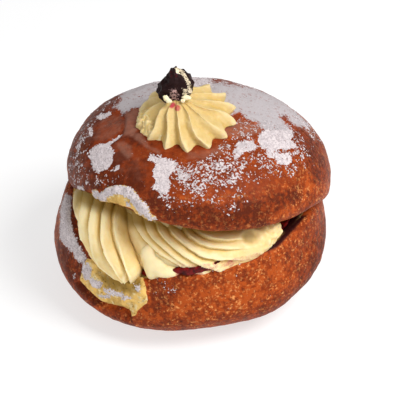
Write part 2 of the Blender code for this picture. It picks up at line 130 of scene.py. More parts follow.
def along(knots: Sequence, shares: np.ndarray) -> np.ndarray:
    """Points on a smooth line through knots, by a cubic through them.

    Args:
        knots: the line's own points.
        shares: places on the line, from 0 to 1.

    Returns:
        One row for each share.
    """
    points = np.asarray(knots, float).reshape(len(knots), -1)
    padded = np.vstack([2 * points[0] - points[1], points, 2 * points[-1] - points[-2]])
    place = np.asarray(shares) * (len(points) - 1)
    start = np.minimum(place.astype(int), len(points) - 2)
    t = (place - start)[:, None]
    before, here, there, after = (padded[start + k] for k in range(4))
    return (
        (2 * t**3 - 3 * t**2 + 1) * here
        + (t**3 - 2 * t**2 + t) * (there - before) / 2
        + (3 * t**2 - 2 * t**3) * there
        + (t**3 - t**2) * (after - here) / 2
    )


def grain(points: np.ndarray, size: float, seed: float = 0.0) -> np.ndarray:
    """Smooth noise of one size.

    Args:
        points: in millimetres.
        size: of the swells, in millimetres.
        seed: which noise.

    Returns:
        Values from about -1 to 1.
    """
    offset = np.array((seed, 2 * seed, -seed))
    return np.array([noise.noise(p) for p in points / size + offset])


def swell(points: np.ndarray, layers: Swells) -> np.ndarray:
    """Unevenness in millimetres, from layers of noise: each one's size, height and seed."""
    return sum(height * grain(points, size, seed) for size, height, seed in layers)


def new_object(name: str, points: np.ndarray, faces: Sequence) -> bpy.types.Object:
    """Smooth-shaded object in the scene.

    Args:
        name: of the object.
        points: in millimetres.
        faces: lists of point numbers.

    Returns:
        The object, in metres.
    """
    mesh = bpy.data.meshes.new(name)
    mesh.from_pydata((np.asarray(points) * MM).tolist(), [], faces)
    mesh.update()
    mesh.shade_smooth()
    obj = bpy.data.objects.new(name, mesh)
    bpy.context.scene.collection.objects.link(obj)
    return obj


def copy_of(solid: Solid, name: str) -> bpy.types.Object:
    """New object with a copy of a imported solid's mesh and no material.

    Args:
        solid: which one.
        name: of the new object.

    Returns:
        The new object.
    """
    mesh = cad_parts[solid.value].data.copy()
    mesh.materials.clear()
    obj = bpy.data.objects.new(name, mesh)
    bpy.context.scene.collection.objects.link(obj)
    return obj


def points_of(obj: bpy.types.Object) -> np.ndarray:
    """Points of an object's mesh, in millimetres."""
    flat = np.empty(len(obj.data.vertices) * 3, np.float32)
    obj.data.vertices.foreach_get("co", flat)
    return flat.reshape(-1, 3).astype(float) / MM


def set_points(obj: bpy.types.Object, points: np.ndarray) -> None:
    """Moves an object's points to places in millimetres."""
    obj.data.vertices.foreach_set("co", (points * MM).astype(np.float32).ravel())
    obj.data.update()


def normals_of(obj: bpy.types.Object) -> np.ndarray:
    """Unit normals at an object's points."""
    flat = np.empty(len(obj.data.vertices) * 3, np.float32)
    obj.data.vertex_normals.foreach_get("vector", flat)
    return flat.reshape(-1, 3).astype(float)


def swollen(obj: bpy.types.Object, lift: np.ndarray) -> bpy.types.Object:
    """Moves an object's points out along their normals, in millimetres."""
    set_points(obj, points_of(obj) + normals_of(obj) * lift[:, None])
    return obj


def mark(obj: bpy.types.Object, name: str, values: np.ndarray) -> None:
    """Writes one number for each point, which the material reads by its name."""
    layer = obj.data.attributes.new(name, "FLOAT", "POINT")
    layer.data.foreach_set("value", np.clip(values, 0, 1).astype(np.float32))


def applied(obj: bpy.types.Object, kind: str, **settings: object) -> bpy.types.Object:
    """Puts a modifier on an object and makes it part of the mesh.

    Args:
        obj: what is changed.
        kind: of modifier.
        settings: of the modifier.

    Returns:
        The same object.
    """
    modifier = obj.modifiers.new(kind.lower(), kind)
    for name, value in settings.items():
        setattr(modifier, name, value)
    graph = bpy.context.evaluated_depsgraph_get()
    mesh = bpy.data.meshes.new_from_object(obj.evaluated_get(graph))
    obj.modifiers.clear()
    obj.data = mesh
    return obj


def fused(obj: bpy.types.Object, voxel: float, smoothing: int) -> bpy.types.Object:
    """Melts an object's overlapping shapes into one even skin.

    Args:
        obj: what is changed.
        voxel: size of the new faces, in millimetres.
        smoothing: number of smoothing passes.

    Returns:
        The same object.
    """
    applied(obj, "REMESH", mode="VOXEL", voxel_size=voxel * MM, use_smooth_shade=True)
    return applied(obj, "SMOOTH", factor=0.5, iterations=smoothing)


def joined(pieces: Sequence[bpy.types.Object]) -> bpy.types.Object:
    """Joins objects into the first of them."""
    with bpy.context.temp_override(
        active_object=pieces[0], object=pieces[0], selected_editable_objects=pieces, selected_objects=pieces
    ):
        bpy.ops.object.join()
    return pieces[0]


def lathe_faces(rings: int, count: int) -> list[tuple[int, ...]]:
    """Faces of a closed shape from rings of points, with a single point before the first and after the last.

    Args:
        rings: number of full rings.
        count: points in each.

    Returns:
        Lists of point numbers, facing out when the rings go up and the points go round to the left.
    """
    last = 1 + rings * count
    faces = []
    for k in range(count):
        following = (k + 1) % count
        faces.append((0, 1 + following, 1 + k))
        for ring in range(rings - 1):
            low = 1 + ring * count
            faces.append((low + k, low + following, low + count + following, low + count + k))
        top = last - count
        faces.append((top + k, top + following, last))
    return faces


def lathe(name: str, rings: Sequence[np.ndarray]) -> bpy.types.Object:
    """Closed shape from rings of points in millimetres. Each end is closed to the middle of its ring."""
    count = len(rings[0])
    points = np.vstack([rings[0].mean(0)[None], *rings, rings[-1].mean(0)[None]])
    return new_object(name, points + SHIFT, lathe_faces(len(rings), count))


def ellipsoid(name: str, centre: Point, radii: Point, steps: int = 24) -> bpy.types.Object:
    """Closed ellipsoid.

    Args:
        name: of the object.
        centre: in millimetres, before the shift.
        radii: in millimetres.
        steps: rings from the bottom to the top.

    Returns:
        The object.
    """
    rings = []
    around = np.linspace(0, 2 * math.pi, 2 * steps, endpoint=False)
    for k in range(1, steps):
        up = math.pi * k / steps
        ring = np.stack([
            np.sin(up) * np.cos(around),
            np.sin(up) * np.sin(around),
            np.full_like(around, -math.cos(up)),
        ], axis=1)
        rings.append(ring * np.array(radii) + np.array(centre))
    return lathe(name, rings)


@dataclass(frozen=True)
class Sight:
    """View from above the front that drawn outlines belong to.

    A drawn place is (across, up) in millimetres on a plane through the middle, square to the line of sight,
    as the camera sees it."""

    elevation: float = 36.0
    distance: float = 600.0
    middle: Point = (3.47, 7.25, 28.16)

    def axes(self) -> tuple[np.ndarray, np.ndarray]:
        """Directions of the picture's up and of the line of sight."""
        slope = math.radians(self.elevation)
        up = np.array((0, math.sin(slope), math.cos(slope)))
        return up, np.array((0, math.cos(slope), -math.sin(slope)))

    def eye(self) -> np.ndarray:
        """Place of the eye, in millimetres."""
        return np.array(self.middle) - self.distance * self.axes()[1]

    def drawn(self, points: np.ndarray) -> np.ndarray:
        """Drawn places of points in millimetres."""
        up, ahead = self.axes()
        away = points - np.array(self.middle)
        scale = self.distance / (self.distance + away @ ahead)
        return np.stack([away[:, 0] * scale, away @ up * scale], axis=1)


SIGHT = Sight()


@dataclass(frozen=True)
class Patch:
    """Patch with a drawn outline: how strong it is, and how wide its soft border is in millimetres."""

    outline: Knots
    amount: float = 1.0
    border: float = 1.0

    def cover(self, drawn: np.ndarray) -> np.ndarray:
        """Share of the patch's strength at drawn places."""
        corners = np.array(self.outline)
        inside = np.zeros(len(drawn), bool)
        for start, end in zip(corners, np.roll(corners, -1, axis=0)):
            across = (drawn[:, 1] - start[1]) / (end[1] - start[1] + 1e-9) * (end[0] - start[0]) + start[0]
            inside ^= ((start[1] > drawn[:, 1]) != (end[1] > drawn[:, 1])) & (drawn[:, 0] < across)
        away = distance_from(drawn, [*self.outline, self.outline[0]])
        return self.amount * rise(np.where(inside, away, -away), -self.border, self.border)


def distance_from(drawn: np.ndarray, line: Knots) -> np.ndarray:
    """Distance of drawn places from a drawn line, in millimetres."""
    corners = np.array(line)
    nearest = np.full(len(drawn), np.inf)
    for start, end in zip(corners, corners[1:]):
        step = end - start
        share = np.clip((drawn - start) @ step / (step @ step), 0, 1)
        nearest = np.minimum(nearest, np.linalg.norm(drawn - start - share[:, None] * step, axis=1))
    return nearest


def in_sight(obj: bpy.types.Object) -> np.ndarray:
    """Share by which an object's points show: 0 where they face away or the object itself hides them."""
    tree = BVHTree.FromObject(obj, bpy.context.evaluated_depsgraph_get())
    points, normals = points_of(obj), normals_of(obj)
    toward = SIGHT.eye() - points
    toward /= np.linalg.norm(toward, axis=1)[:, None]
    share = rise((normals * toward).sum(1), *FACING)
    for i in np.flatnonzero(share):
        start = Vector((points[i] + CLEAR * normals[i]) * MM)
        if tree.ray_cast(start, Vector(toward[i]))[0] is not None:
            share[i] = 0
    return share


def served(obj: bpy.types.Object, slot: Slot, *stands_for: Solid) -> bpy.types.Object:
    """Puts a piece on the doughnut's one body and hides the solids that it takes the place of.

    Args:
        obj: the piece.
        slot: not used.
        stands_for: solids that it takes the place of.

    Returns:
        The piece.
    """
    low, high = (np.array(corner) / MM for corner in CAD_BOX)
    set_points(obj, np.clip(points_of(obj), low, high))
    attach(obj, "root")
    if stands_for:
        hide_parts(*(solid.value for solid in stands_for))
    LOG.info("%s: %d faces", obj.name, len(obj.data.polygons))
    return obj


@dataclass(frozen=True)
class Cloud:
    """Noise of a material, which is also used for its cells."""

    size: float  # of its swells, in millimetres
    detail: float = 2.0  # number of finer layers
    roughness: float = 0.5  # how strong they are
    seed: float = 0.0
    width: float = 1.0  # of its swing about 0
    stretch: Point = (1, 1, 1)  # how much longer the swells are along each axis


class Sheet:
    """Node sheet of one material."""

    def __init__(self, name: str) -> None:
        """Starts a sheet with an empty shader."""
        self.material = bpy.data.materials.new(name)
        self.material.use_nodes = True
        self.tree = self.material.node_tree
        self.shader = self.tree.nodes["Principled BSDF"]
        self.place = self.tree.nodes.new("ShaderNodeTexCoord").outputs["Object"]

    def put(self, socket: bpy.types.NodeSocket, value: object) -> None:
        """Links a socket to another, or sets it."""
        if isinstance(value, bpy.types.NodeSocket):
            self.tree.links.new(value, socket)
        else:
            socket.default_value = value

    def made(self, kind: str, sockets: dict[str, object], **settings: object) -> bpy.types.Node:
        """New node.

        Args:
            kind: of node.
            sockets: what is put into its inputs, by their names.
            settings: of the node.

        Returns:
            The node.
        """
        node = self.tree.nodes.new(kind)
        for name, value in settings.items():
            setattr(node, name, value)
        for name, value in sockets.items():
            self.put(node.inputs[name], value)
        return node

    def noise(self, cloud: Cloud) -> bpy.types.NodeSocket:
        """Noise from 0 to 1."""
        place = self.place
        if cloud.stretch != (1, 1, 1):
            scale = tuple(1 / s for s in cloud.stretch)
            place = self.made("ShaderNodeMapping", {"Vector": place, "Scale": scale}).outputs["Vector"]
        scale = 1 / (cloud.size * MM)
        sockets = {
            "Vector": place, "W": cloud.seed, "Scale": scale,
            "Detail": cloud.detail, "Roughness": cloud.roughness,
        }
        return self.made("ShaderNodeTexNoise", sockets, noise_dimensions="4D").outputs["Fac"]

    def swing(self, cloud: Cloud) -> bpy.types.NodeSocket:
        """Noise about 0, of the cloud's width."""
        return self.times(self.maths("SUBTRACT", self.noise(cloud), 0.5), cloud.width)

    def cells(self, cloud: Cloud) -> bpy.types.NodeSocket:
        """Distance from the nearest of scattered points, for pores and blisters."""
        sockets = {"Vector": self.place, "W": cloud.seed, "Scale": 1 / (cloud.size * MM)}
        return self.made("ShaderNodeTexVoronoi", sockets, voronoi_dimensions="4D").outputs["Distance"]

    def marked(self, name: str) -> bpy.types.NodeSocket:
        """Number that mark() wrote at each point."""
        return self.made("ShaderNodeAttribute", {}, attribute_name=name).outputs["Fac"]

    def maths(self, operation: str, first: object, second: object) -> bpy.types.NodeSocket:
        """Result of an operation on two sockets or numbers."""
        node = self.made("ShaderNodeMath", {}, operation=operation)
        self.put(node.inputs[0], first)
        self.put(node.inputs[1], second)
        return node.outputs[0]

    def times(self, first: object, second: object) -> bpy.types.NodeSocket:
        """Product of two sockets or numbers."""
        return self.maths("MULTIPLY", first, second)

    def plus(self, first: object, second: object) -> bpy.types.NodeSocket:
        """Sum of two sockets or numbers."""
        return self.maths("ADD", first, second)

    def step(self, value: object, start: float, end: float, low: float = 0.0,
             high: float = 1.0) -> bpy.types.NodeSocket:
        """Smooth step of a socket from low at start to high at end."""
        sockets = {"Value": value, "From Min": start, "From Max": end, "To Min": low, "To Max": high}
        return self.made("ShaderNodeMapRange", sockets, interpolation_type="SMOOTHSTEP").outputs["Result"]

    def mix(self, share: object, first: object, second: object) -> bpy.types.NodeSocket:
        """Colour between two colours."""
        node = self.made("ShaderNodeMix", {}, data_type="RGBA")
        for index, value in zip(MIX_INPUTS, (share, first, second)):
            self.put(node.inputs[index], value)
        return node.outputs[MIX_OUTPUT]

    def bump(self, height: object, depth: float) -> bpy.types.NodeSocket:
        """Normal of relief of a depth in millimetres."""
        sockets = {"Strength": 1.0, "Distance": depth * MM, "Height": height}
        return self.made("ShaderNodeBump", sockets).outputs["Normal"]

    def finished(self, obj: bpy.types.Object, **sockets: object) -> bpy.types.Material:
        """Fills in the shader and gives the material to an object.

        Args:
            obj: what wears it.
            sockets: the shader's sockets, with underscores for spaces.

        Returns:
            The material.
        """
        for name, value in sockets.items():
            self.put(self.shader.inputs[name.replace("_", " ")], value)
        obj.data.materials.clear()
        obj.data.materials.append(self.material)
        return self.material


@dataclass(frozen=True)
class CrustFinish:
    """Fried crust with pale flecks, crumb where it is torn, and icing sugar as powder, as film and as haze.

    A Ramp is where a step starts and ends, and what it goes from and to where that isn't 0 and 1."""

    deep: Colour = (0.10, 0.016, 0.005, 1)
    brown: Colour = (0.23, 0.034, 0.006, 1)
    golden: Colour = (0.41, 0.070, 0.010, 1)
    fleck: Colour = (0.78, 0.30, 0.09, 1)
    crumb: Colour = (0.80, 0.51, 0.155, 1)
    crumb_pore: Colour = (0.34, 0.20, 0.05, 1)
    crumb_pale: Colour = (0.80, 0.66, 0.36, 1)
    crumb_shade: Colour = (0.24, 0.135, 0.022, 1)
    sugar: Colour = (0.71, 0.63, 0.63, 1)
    sugar_shade: Colour = (0.47, 0.41, 0.42, 1)
    film: Colour = (0.49, 0.445, 0.455, 1)
    haze: Colour = (0.34, 0.16, 0.11, 1)
    # juice: near-black, for jam juice inside the mouth's right end, and for painted shade in the hollow there
    juice: Colour = (0.03, 0.004, 0.004, 1)

    bake_clouds: Cloud = Cloud(5.5, 4, 0.62, 1.0, 1.6)
    bake_grain: Cloud = Cloud(1.5, 4, 0.7, 2.0, 3.2)
    bake_streaks: Cloud = Cloud(1.3, 3, 0.6, 10.0, 0.9, (1, 1, 3.5))
    grain_by_rough: Ramp = (0.0, 1.0, 0.35, 1.0)
    streaks_by_rough: Ramp = (0.0, 0.5, 0.4, 1.0)
    to_brown: Ramp = (0.05, 0.55)
    to_deep: Ramp = (0.55, 1.15)

    blisters: Cloud = Cloud(1.7, seed=4.0)
    blister_edge: Ramp = (0.30, 0.12)
    blister_share: float = 0.8  # of a fleck's strength
    clusters: Cloud = Cloud(5, 3, 0.6, 3.0)
    cluster_edge: Ramp = (0.34, 0.58)
    specks: Cloud = Cloud(1.25, 4, 0.7, 5.0)
    speck_edge: Ramp = (0.52, 0.66)
    flecks_by_rough: Ramp = (0.0, 1.0, 0.18, 1.0)
    flecks_by_bake_and_shade: Ramp = (1.0, 0.4, 0.25, 1.0)

    pores: Cloud = Cloud(1.0, seed=6.0)
    pore_edge: Ramp = (0.35, 0.10)
    pore_share: float = 0.6
    dark_dough: Cloud = Cloud(3.0, 3, 0.6, 7.0)
    dark_dough_edge: Ramp = (0.40, 0.65, 0.0, 0.6)
    pale_dough: Cloud = Cloud(2.2, 3, 0.6, 14.0)
    pale_dough_edge: Ramp = (0.52, 0.64, 0.0, 0.85)
    shade_share: float = 0.85
    fine_grain: Cloud = Cloud(1.1, 3, 0.6, 2.0, 0.5)
    torn_edge: Ramp = (0.42, 0.58)

    haze_clouds: Cloud = Cloud(2.4, 3, 0.6, 11.0, 0.9)
    haze_edge: Ramp = (0.15, 1.1, 0.0, 0.62)
    film_clouds: Cloud = Cloud(1.1, 4, 0.7, 12.0, 2.3)
    film_edge: Ramp = (0.35, 0.80)
    film_holes: Cloud = Cloud(0.9, 3, 0.65, 13.0)
    film_hole_edge: Ramp = (0.54, 0.65)
    film_worn: Cloud = Cloud(4.5, 3, 0.6, 16.0)
    film_worn_edge: Ramp = (0.46, 0.62)

    powder_wide: Cloud = Cloud(2.8, 3, 0.6, 8.0, 1.2)
    powder_close: Cloud = Cloud(0.8, 3, 0.65, 9.0, 2.2)
    powder_edge: Ramp = (0.50, 0.60)
    packed: Cloud = Cloud(0.8, 3, 0.65, 15.0)
    packed_edge: Ramp = (0.42, 0.66)

    grain_height: float = 0.75  # shares of the relief
    powder_height: float = 0.35
    blister_height: float = 0.25
    pore_depth: float = 0.9
    relief: float = 0.45
    roughness: Ramp = (0.0, 1.0, 0.50, 0.92)
    gloss: float = 0.08

    def crust(self, sheet: Sheet, blister: bpy.types.NodeSocket) -> bpy.types.NodeSocket:
        """Colour of the bare crust.

        Args:
            sheet: the sheet it is made on.
            blister: where the crust has small round blisters.

        Returns:
            The colour.
        """
        # The mark read here darkens the tone: baked colour, with painted shade on the left and along the
        # lower edges, and darker towards the foot.
        bake_and_shade, rough = sheet.marked("bake_and_shade"), sheet.marked("rough")
        tone = sheet.plus(bake_and_shade, sheet.swing(self.bake_clouds))
        for cloud, ramp in (
            (self.bake_grain, self.grain_by_rough),
            (self.bake_streaks, self.streaks_by_rough),
        ):
            tone = sheet.plus(tone, sheet.times(sheet.swing(cloud), sheet.step(rough, *ramp)))
        colour = sheet.mix(sheet.step(tone, *self.to_brown), self.golden, self.brown)
        colour = sheet.mix(sheet.step(tone, *self.to_deep), colour, self.deep)
        speck = sheet.step(sheet.noise(self.specks), *self.speck_edge)
        fleck = sheet.maths("MAXIMUM", sheet.times(blister, self.blister_share), speck)
        fleck = sheet.times(fleck, sheet.step(sheet.noise(self.clusters), *self.cluster_edge))
        fleck = sheet.times(fleck, sheet.step(rough, *self.flecks_by_rough))
        fleck = sheet.times(fleck, sheet.step(bake_and_shade, *self.flecks_by_bake_and_shade))
        return sheet.mix(fleck, colour, self.fleck)

    def dough(self, sheet: Sheet, pores: bpy.types.NodeSocket) -> bpy.types.NodeSocket:
        """Colour of the torn crumb.

        Args:
            sheet: the sheet it is made on.
            pores: where the crumb has pores.

        Returns:
            The colour.
        """
        dark = sheet.step(sheet.noise(self.dark_dough), *self.dark_dough_edge)
        pale = sheet.step(sheet.noise(self.pale_dough), *self.pale_dough_edge)
        colour = sheet.mix(sheet.times(pores, self.pore_share), self.crumb, self.crumb_pore)
        colour = sheet.mix(dark, colour, self.crumb_pore)
        colour = sheet.mix(pale, colour, self.crumb_pale)
        return sheet.mix(sheet.times(sheet.marked("shade"), self.shade_share), colour, self.crumb_shade)

    def veil(self, sheet: Sheet) -> bpy.types.NodeSocket:
        """How much of the crust the thin film of sugar hides."""
        holes = sheet.times(
            sheet.step(sheet.noise(self.film_holes), *self.film_hole_edge),
            sheet.step(sheet.noise(self.film_worn), *self.film_worn_edge),
        )
        film = sheet.plus(sheet.marked("film"), sheet.swing(self.film_clouds))
        return sheet.times(sheet.step(film, *self.film_edge), sheet.maths("SUBTRACT", 1.0, holes))

    def dress(self, obj: bpy.types.Object) -> None:
        """Gives the bun its material, by what is marked on it."""
        sheet = Sheet("fried_crust")
        blister = sheet.step(sheet.cells(self.blisters), *self.blister_edge)
        pores = sheet.step(sheet.cells(self.pores), *self.pore_edge)
        torn = sheet.step(sheet.plus(sheet.marked("crumb"), sheet.swing(self.fine_grain)), *self.torn_edge)
        thin = sheet.plus(sheet.marked("haze"), sheet.swing(self.haze_clouds))
        veil = self.veil(sheet)
        spread = sheet.plus(sheet.swing(self.powder_wide), sheet.swing(self.powder_close))
        powder = sheet.step(sheet.plus(sheet.marked("sugar"), spread), *self.powder_edge)
        packed = sheet.step(sheet.noise(self.packed), *self.packed_edge)
        colour = sheet.mix(torn, self.crust(sheet, blister), self.dough(sheet, pores))
        # Near-black where juice is marked: jam juice, and painted shade in the hollow at the mouth's right
        # end.
        colour = sheet.mix(sheet.marked("juice"), colour, self.juice)
        colour = sheet.mix(sheet.step(thin, *self.haze_edge), colour, self.haze)
        colour = sheet.mix(veil, colour, self.film)
        colour = sheet.mix(powder, colour, sheet.mix(packed, self.sugar, self.sugar_shade))
        relief = sheet.times(sheet.noise(self.fine_grain), self.grain_height)
        relief = sheet.plus(relief, sheet.times(powder, self.powder_height))
        relief = sheet.plus(relief, sheet.times(blister, self.blister_height))
        relief = sheet.plus(relief, sheet.times(sheet.times(pores, torn), -self.pore_depth))
        dry = sheet.maths("MAXIMUM", sheet.maths("MAXIMUM", powder, torn), veil)
        sheet.finished(
            obj,
            Base_Color=colour,
            Roughness=sheet.step(dry, *self.roughness),
            Specular_IOR_Level=self.gloss,
            Normal=sheet.bump(relief, self.relief),
        )


@dataclass(frozen=True)
class CreamFinish:
    """Thick yellow buttercream, stained by the fruit, with a painted highlight on its crests, painted shade
    in its valleys and painted shadow where shade is marked.
    """

    name: str = "piped_cream"
    body: Colour = (0.84, 0.62, 0.26, 1)
    # pale: for random paler clouds, and the painted highlight on crests
    pale: Colour = (0.93, 0.80, 0.48, 1)
    # deep: painted shade in the valleys
    deep: Colour = (0.66, 0.42, 0.10, 1)
    shade: Colour = (0.28, 0.165, 0.02, 1)
    stain: Colour = (0.45, 0.03, 0.05, 1)
    clouds: Cloud = Cloud(3.5, 3, 0.6, 1.0)
    cloud_edge: Ramp = (0.35, 0.75, 0.0, 0.45)
    crest_highlight_share: float = 0.8
    valley_shade_share: float = 0.72
    shade_share: float = 0.95
    stain_clouds: Cloud = Cloud(1.3, 3, 0.6, 2.0, 0.9)
    stain_edge: Ramp = (0.35, 0.95)
    fine_grain: Cloud = Cloud(0.5, 2, 0.6, 3.0)
    relief: float = 0.10
    roughness: float = 0.55
    gloss: float = 0.28
    scatter_share: float = 0.25
    scatter_colours: Point = (1.0, 0.62, 0.22)
    scatter: float = 0.5

    def dress(self, obj: bpy.types.Object) -> None:
        """Gives a piece of cream its material: painted highlight on crests, painted shade in valleys and
        where shade is marked, and stain.
        """
        sheet = Sheet(self.name)
        colour = sheet.mix(sheet.step(sheet.noise(self.clouds), *self.cloud_edge), self.body, self.pale)
        # Painted highlight on crests, painted shade in valleys, painted shadow where shade is marked.
        for name, share, tint in (
            ("crest", self.crest_highlight_share, self.pale),
            ("valley", self.valley_shade_share, self.deep),
            ("shade", self.shade_share, self.shade),
        ):
            colour = sheet.mix(sheet.times(sheet.marked(name), share), colour, tint)
        stain = sheet.plus(sheet.marked("stain"), sheet.swing(self.stain_clouds))
        stained = sheet.step(stain, *self.stain_edge)
        sheet.finished(
            obj,
            Base_Color=sheet.mix(stained, colour, self.stain),
            Roughness=self.roughness,
            Specular_IOR_Level=self.gloss,
            Subsurface_Weight=self.scatter_share,
            Subsurface_Radius=self.scatter_colours,
            Subsurface_Scale=self.scatter * MM,
            Normal=sheet.bump(sheet.noise(self.fine_grain), self.relief),
        )


@dataclass(frozen=True)
class JamFinish:
    """Dark red jam, wet and half clear."""

    name: str = "red_jam"
    clear: Colour = (0.20, 0.004, 0.004, 1)
    dark: Colour = (0.03, 0.001, 0.001, 1)
    lumps: Cloud = Cloud(2.2, 3, 0.6, 1.0)
    lump_edge: Ramp = (0.35, 0.65)
    relief: float = 0.5
    roughness: float = 0.4
    gloss: float = 0.15
    scatter_share: float = 0.2
    scatter_colours: Point = (1.0, 0.12, 0.10)
    scatter: float = 1.2

    def dress(self, obj: bpy.types.Object) -> None:
        """Gives a piece of jam its material."""
        sheet = Sheet(self.name)
        lumps = sheet.noise(self.lumps)
        sheet.finished(
            obj,
            Base_Color=sheet.mix(sheet.step(lumps, *self.lump_edge), self.clear, self.dark),
            Roughness=self.roughness,
            Specular_IOR_Level=self.gloss,
            Subsurface_Weight=self.scatter_share,
            Subsurface_Radius=self.scatter_colours,
            Subsurface_Scale=self.scatter * MM,
            Normal=sheet.bump(lumps, self.relief),
        )


@dataclass(frozen=True)
class FruitFinish:
    """Near-black cooked fruit with red juice in its cracks, and cream and pulp where they are marked."""

    skin: Colour = (0.016, 0.004, 0.004, 1)
    juice: Colour = (0.12, 0.006, 0.008, 1)
    smear: Colour = (0.72, 0.60, 0.42, 1)
    pulp: Colour = (0.42, 0.26, 0.24, 1)
    flesh: Cloud = Cloud(2.6, 4, 0.65, 1.0)
    pulp_grains: Cloud = Cloud(0.8, 3, 0.7, 3.0, 2.4)
    cream_grains: Cloud = Cloud(0.8, 3, 0.7, 4.0, 2.4)
    edge: Ramp = (0.55, 0.75)
    wrinkles: Cloud = Cloud(0.9, 3, 0.6, 2.0)
    relief: float = 0.3
    roughness: float = 0.55
    gloss: float = 0.14

    def dress(self, obj: bpy.types.Object) -> None:
        """Gives the fruit its material."""
        sheet = Sheet("dark_fruit")
        colour = sheet.mix(sheet.step(sheet.noise(self.flesh), *self.edge), self.skin, self.juice)
        for name, tint, grains in (
            ("pulp", self.pulp, self.pulp_grains),
            ("cream", self.smear, self.cream_grains),
        ):
            share = sheet.plus(sheet.marked(name), sheet.swing(grains))
            colour = sheet.mix(sheet.step(share, *self.edge), colour, tint)
        sheet.finished(
            obj,
            Base_Color=colour,
            Roughness=self.roughness,
            Specular_IOR_Level=self.gloss,
            Normal=sheet.bump(sheet.noise(self.wrinkles), self.relief),
        )


@dataclass(frozen=True)
class PowderFinish:
    """Loose grains of icing sugar."""

    name: str = "loose_sugar"
    pale: Colour = (0.72, 0.65, 0.66, 1)
    dark: Colour = (0.58, 0.51, 0.52, 1)
    clouds: Cloud = Cloud(1.5, 2, 0.5, 1.0)
    cloud_edge: Ramp = (0.35, 0.65)
    fine_grain: Cloud = Cloud(0.25, 1, 0.5, 2.0)
    relief: float = 0.08
    roughness: float = 0.85
    gloss: float = 0.25

    def dress(self, obj: bpy.types.Object) -> None:
        """Gives the grains their material."""
        sheet = Sheet(self.name)
        sheet.finished(
            obj,
            Base_Color=sheet.mix(
                sheet.step(sheet.noise(self.clouds), *self.cloud_edge), self.pale, self.dark,
            ),
            Roughness=self.roughness,
            Specular_IOR_Level=self.gloss,
            Normal=sheet.bump(sheet.noise(self.fine_grain), self.relief),
        )


@dataclass(frozen=True)
class Spot:
    """Round patch on a surface: its middle and radius in millimetres, and how strong it is."""

    place: Point
    radius: float
    amount: float = 1.0
    border: Span = (1.35, 0.6)  # shares of the radius between which it rises to its full strength

    def cover(self, points: np.ndarray) -> np.ndarray:
        """Share of the patch's strength at points."""
        away = np.linalg.norm(points - np.array(self.place), axis=1) / self.radius
        return self.amount * rise(away, *self.border)


def covered(points: np.ndarray, spots: Sequence[Spot]) -> np.ndarray:
    """Strongest of several patches at points."""
    return np.max([spot.cover(points) for spot in spots], axis=0)


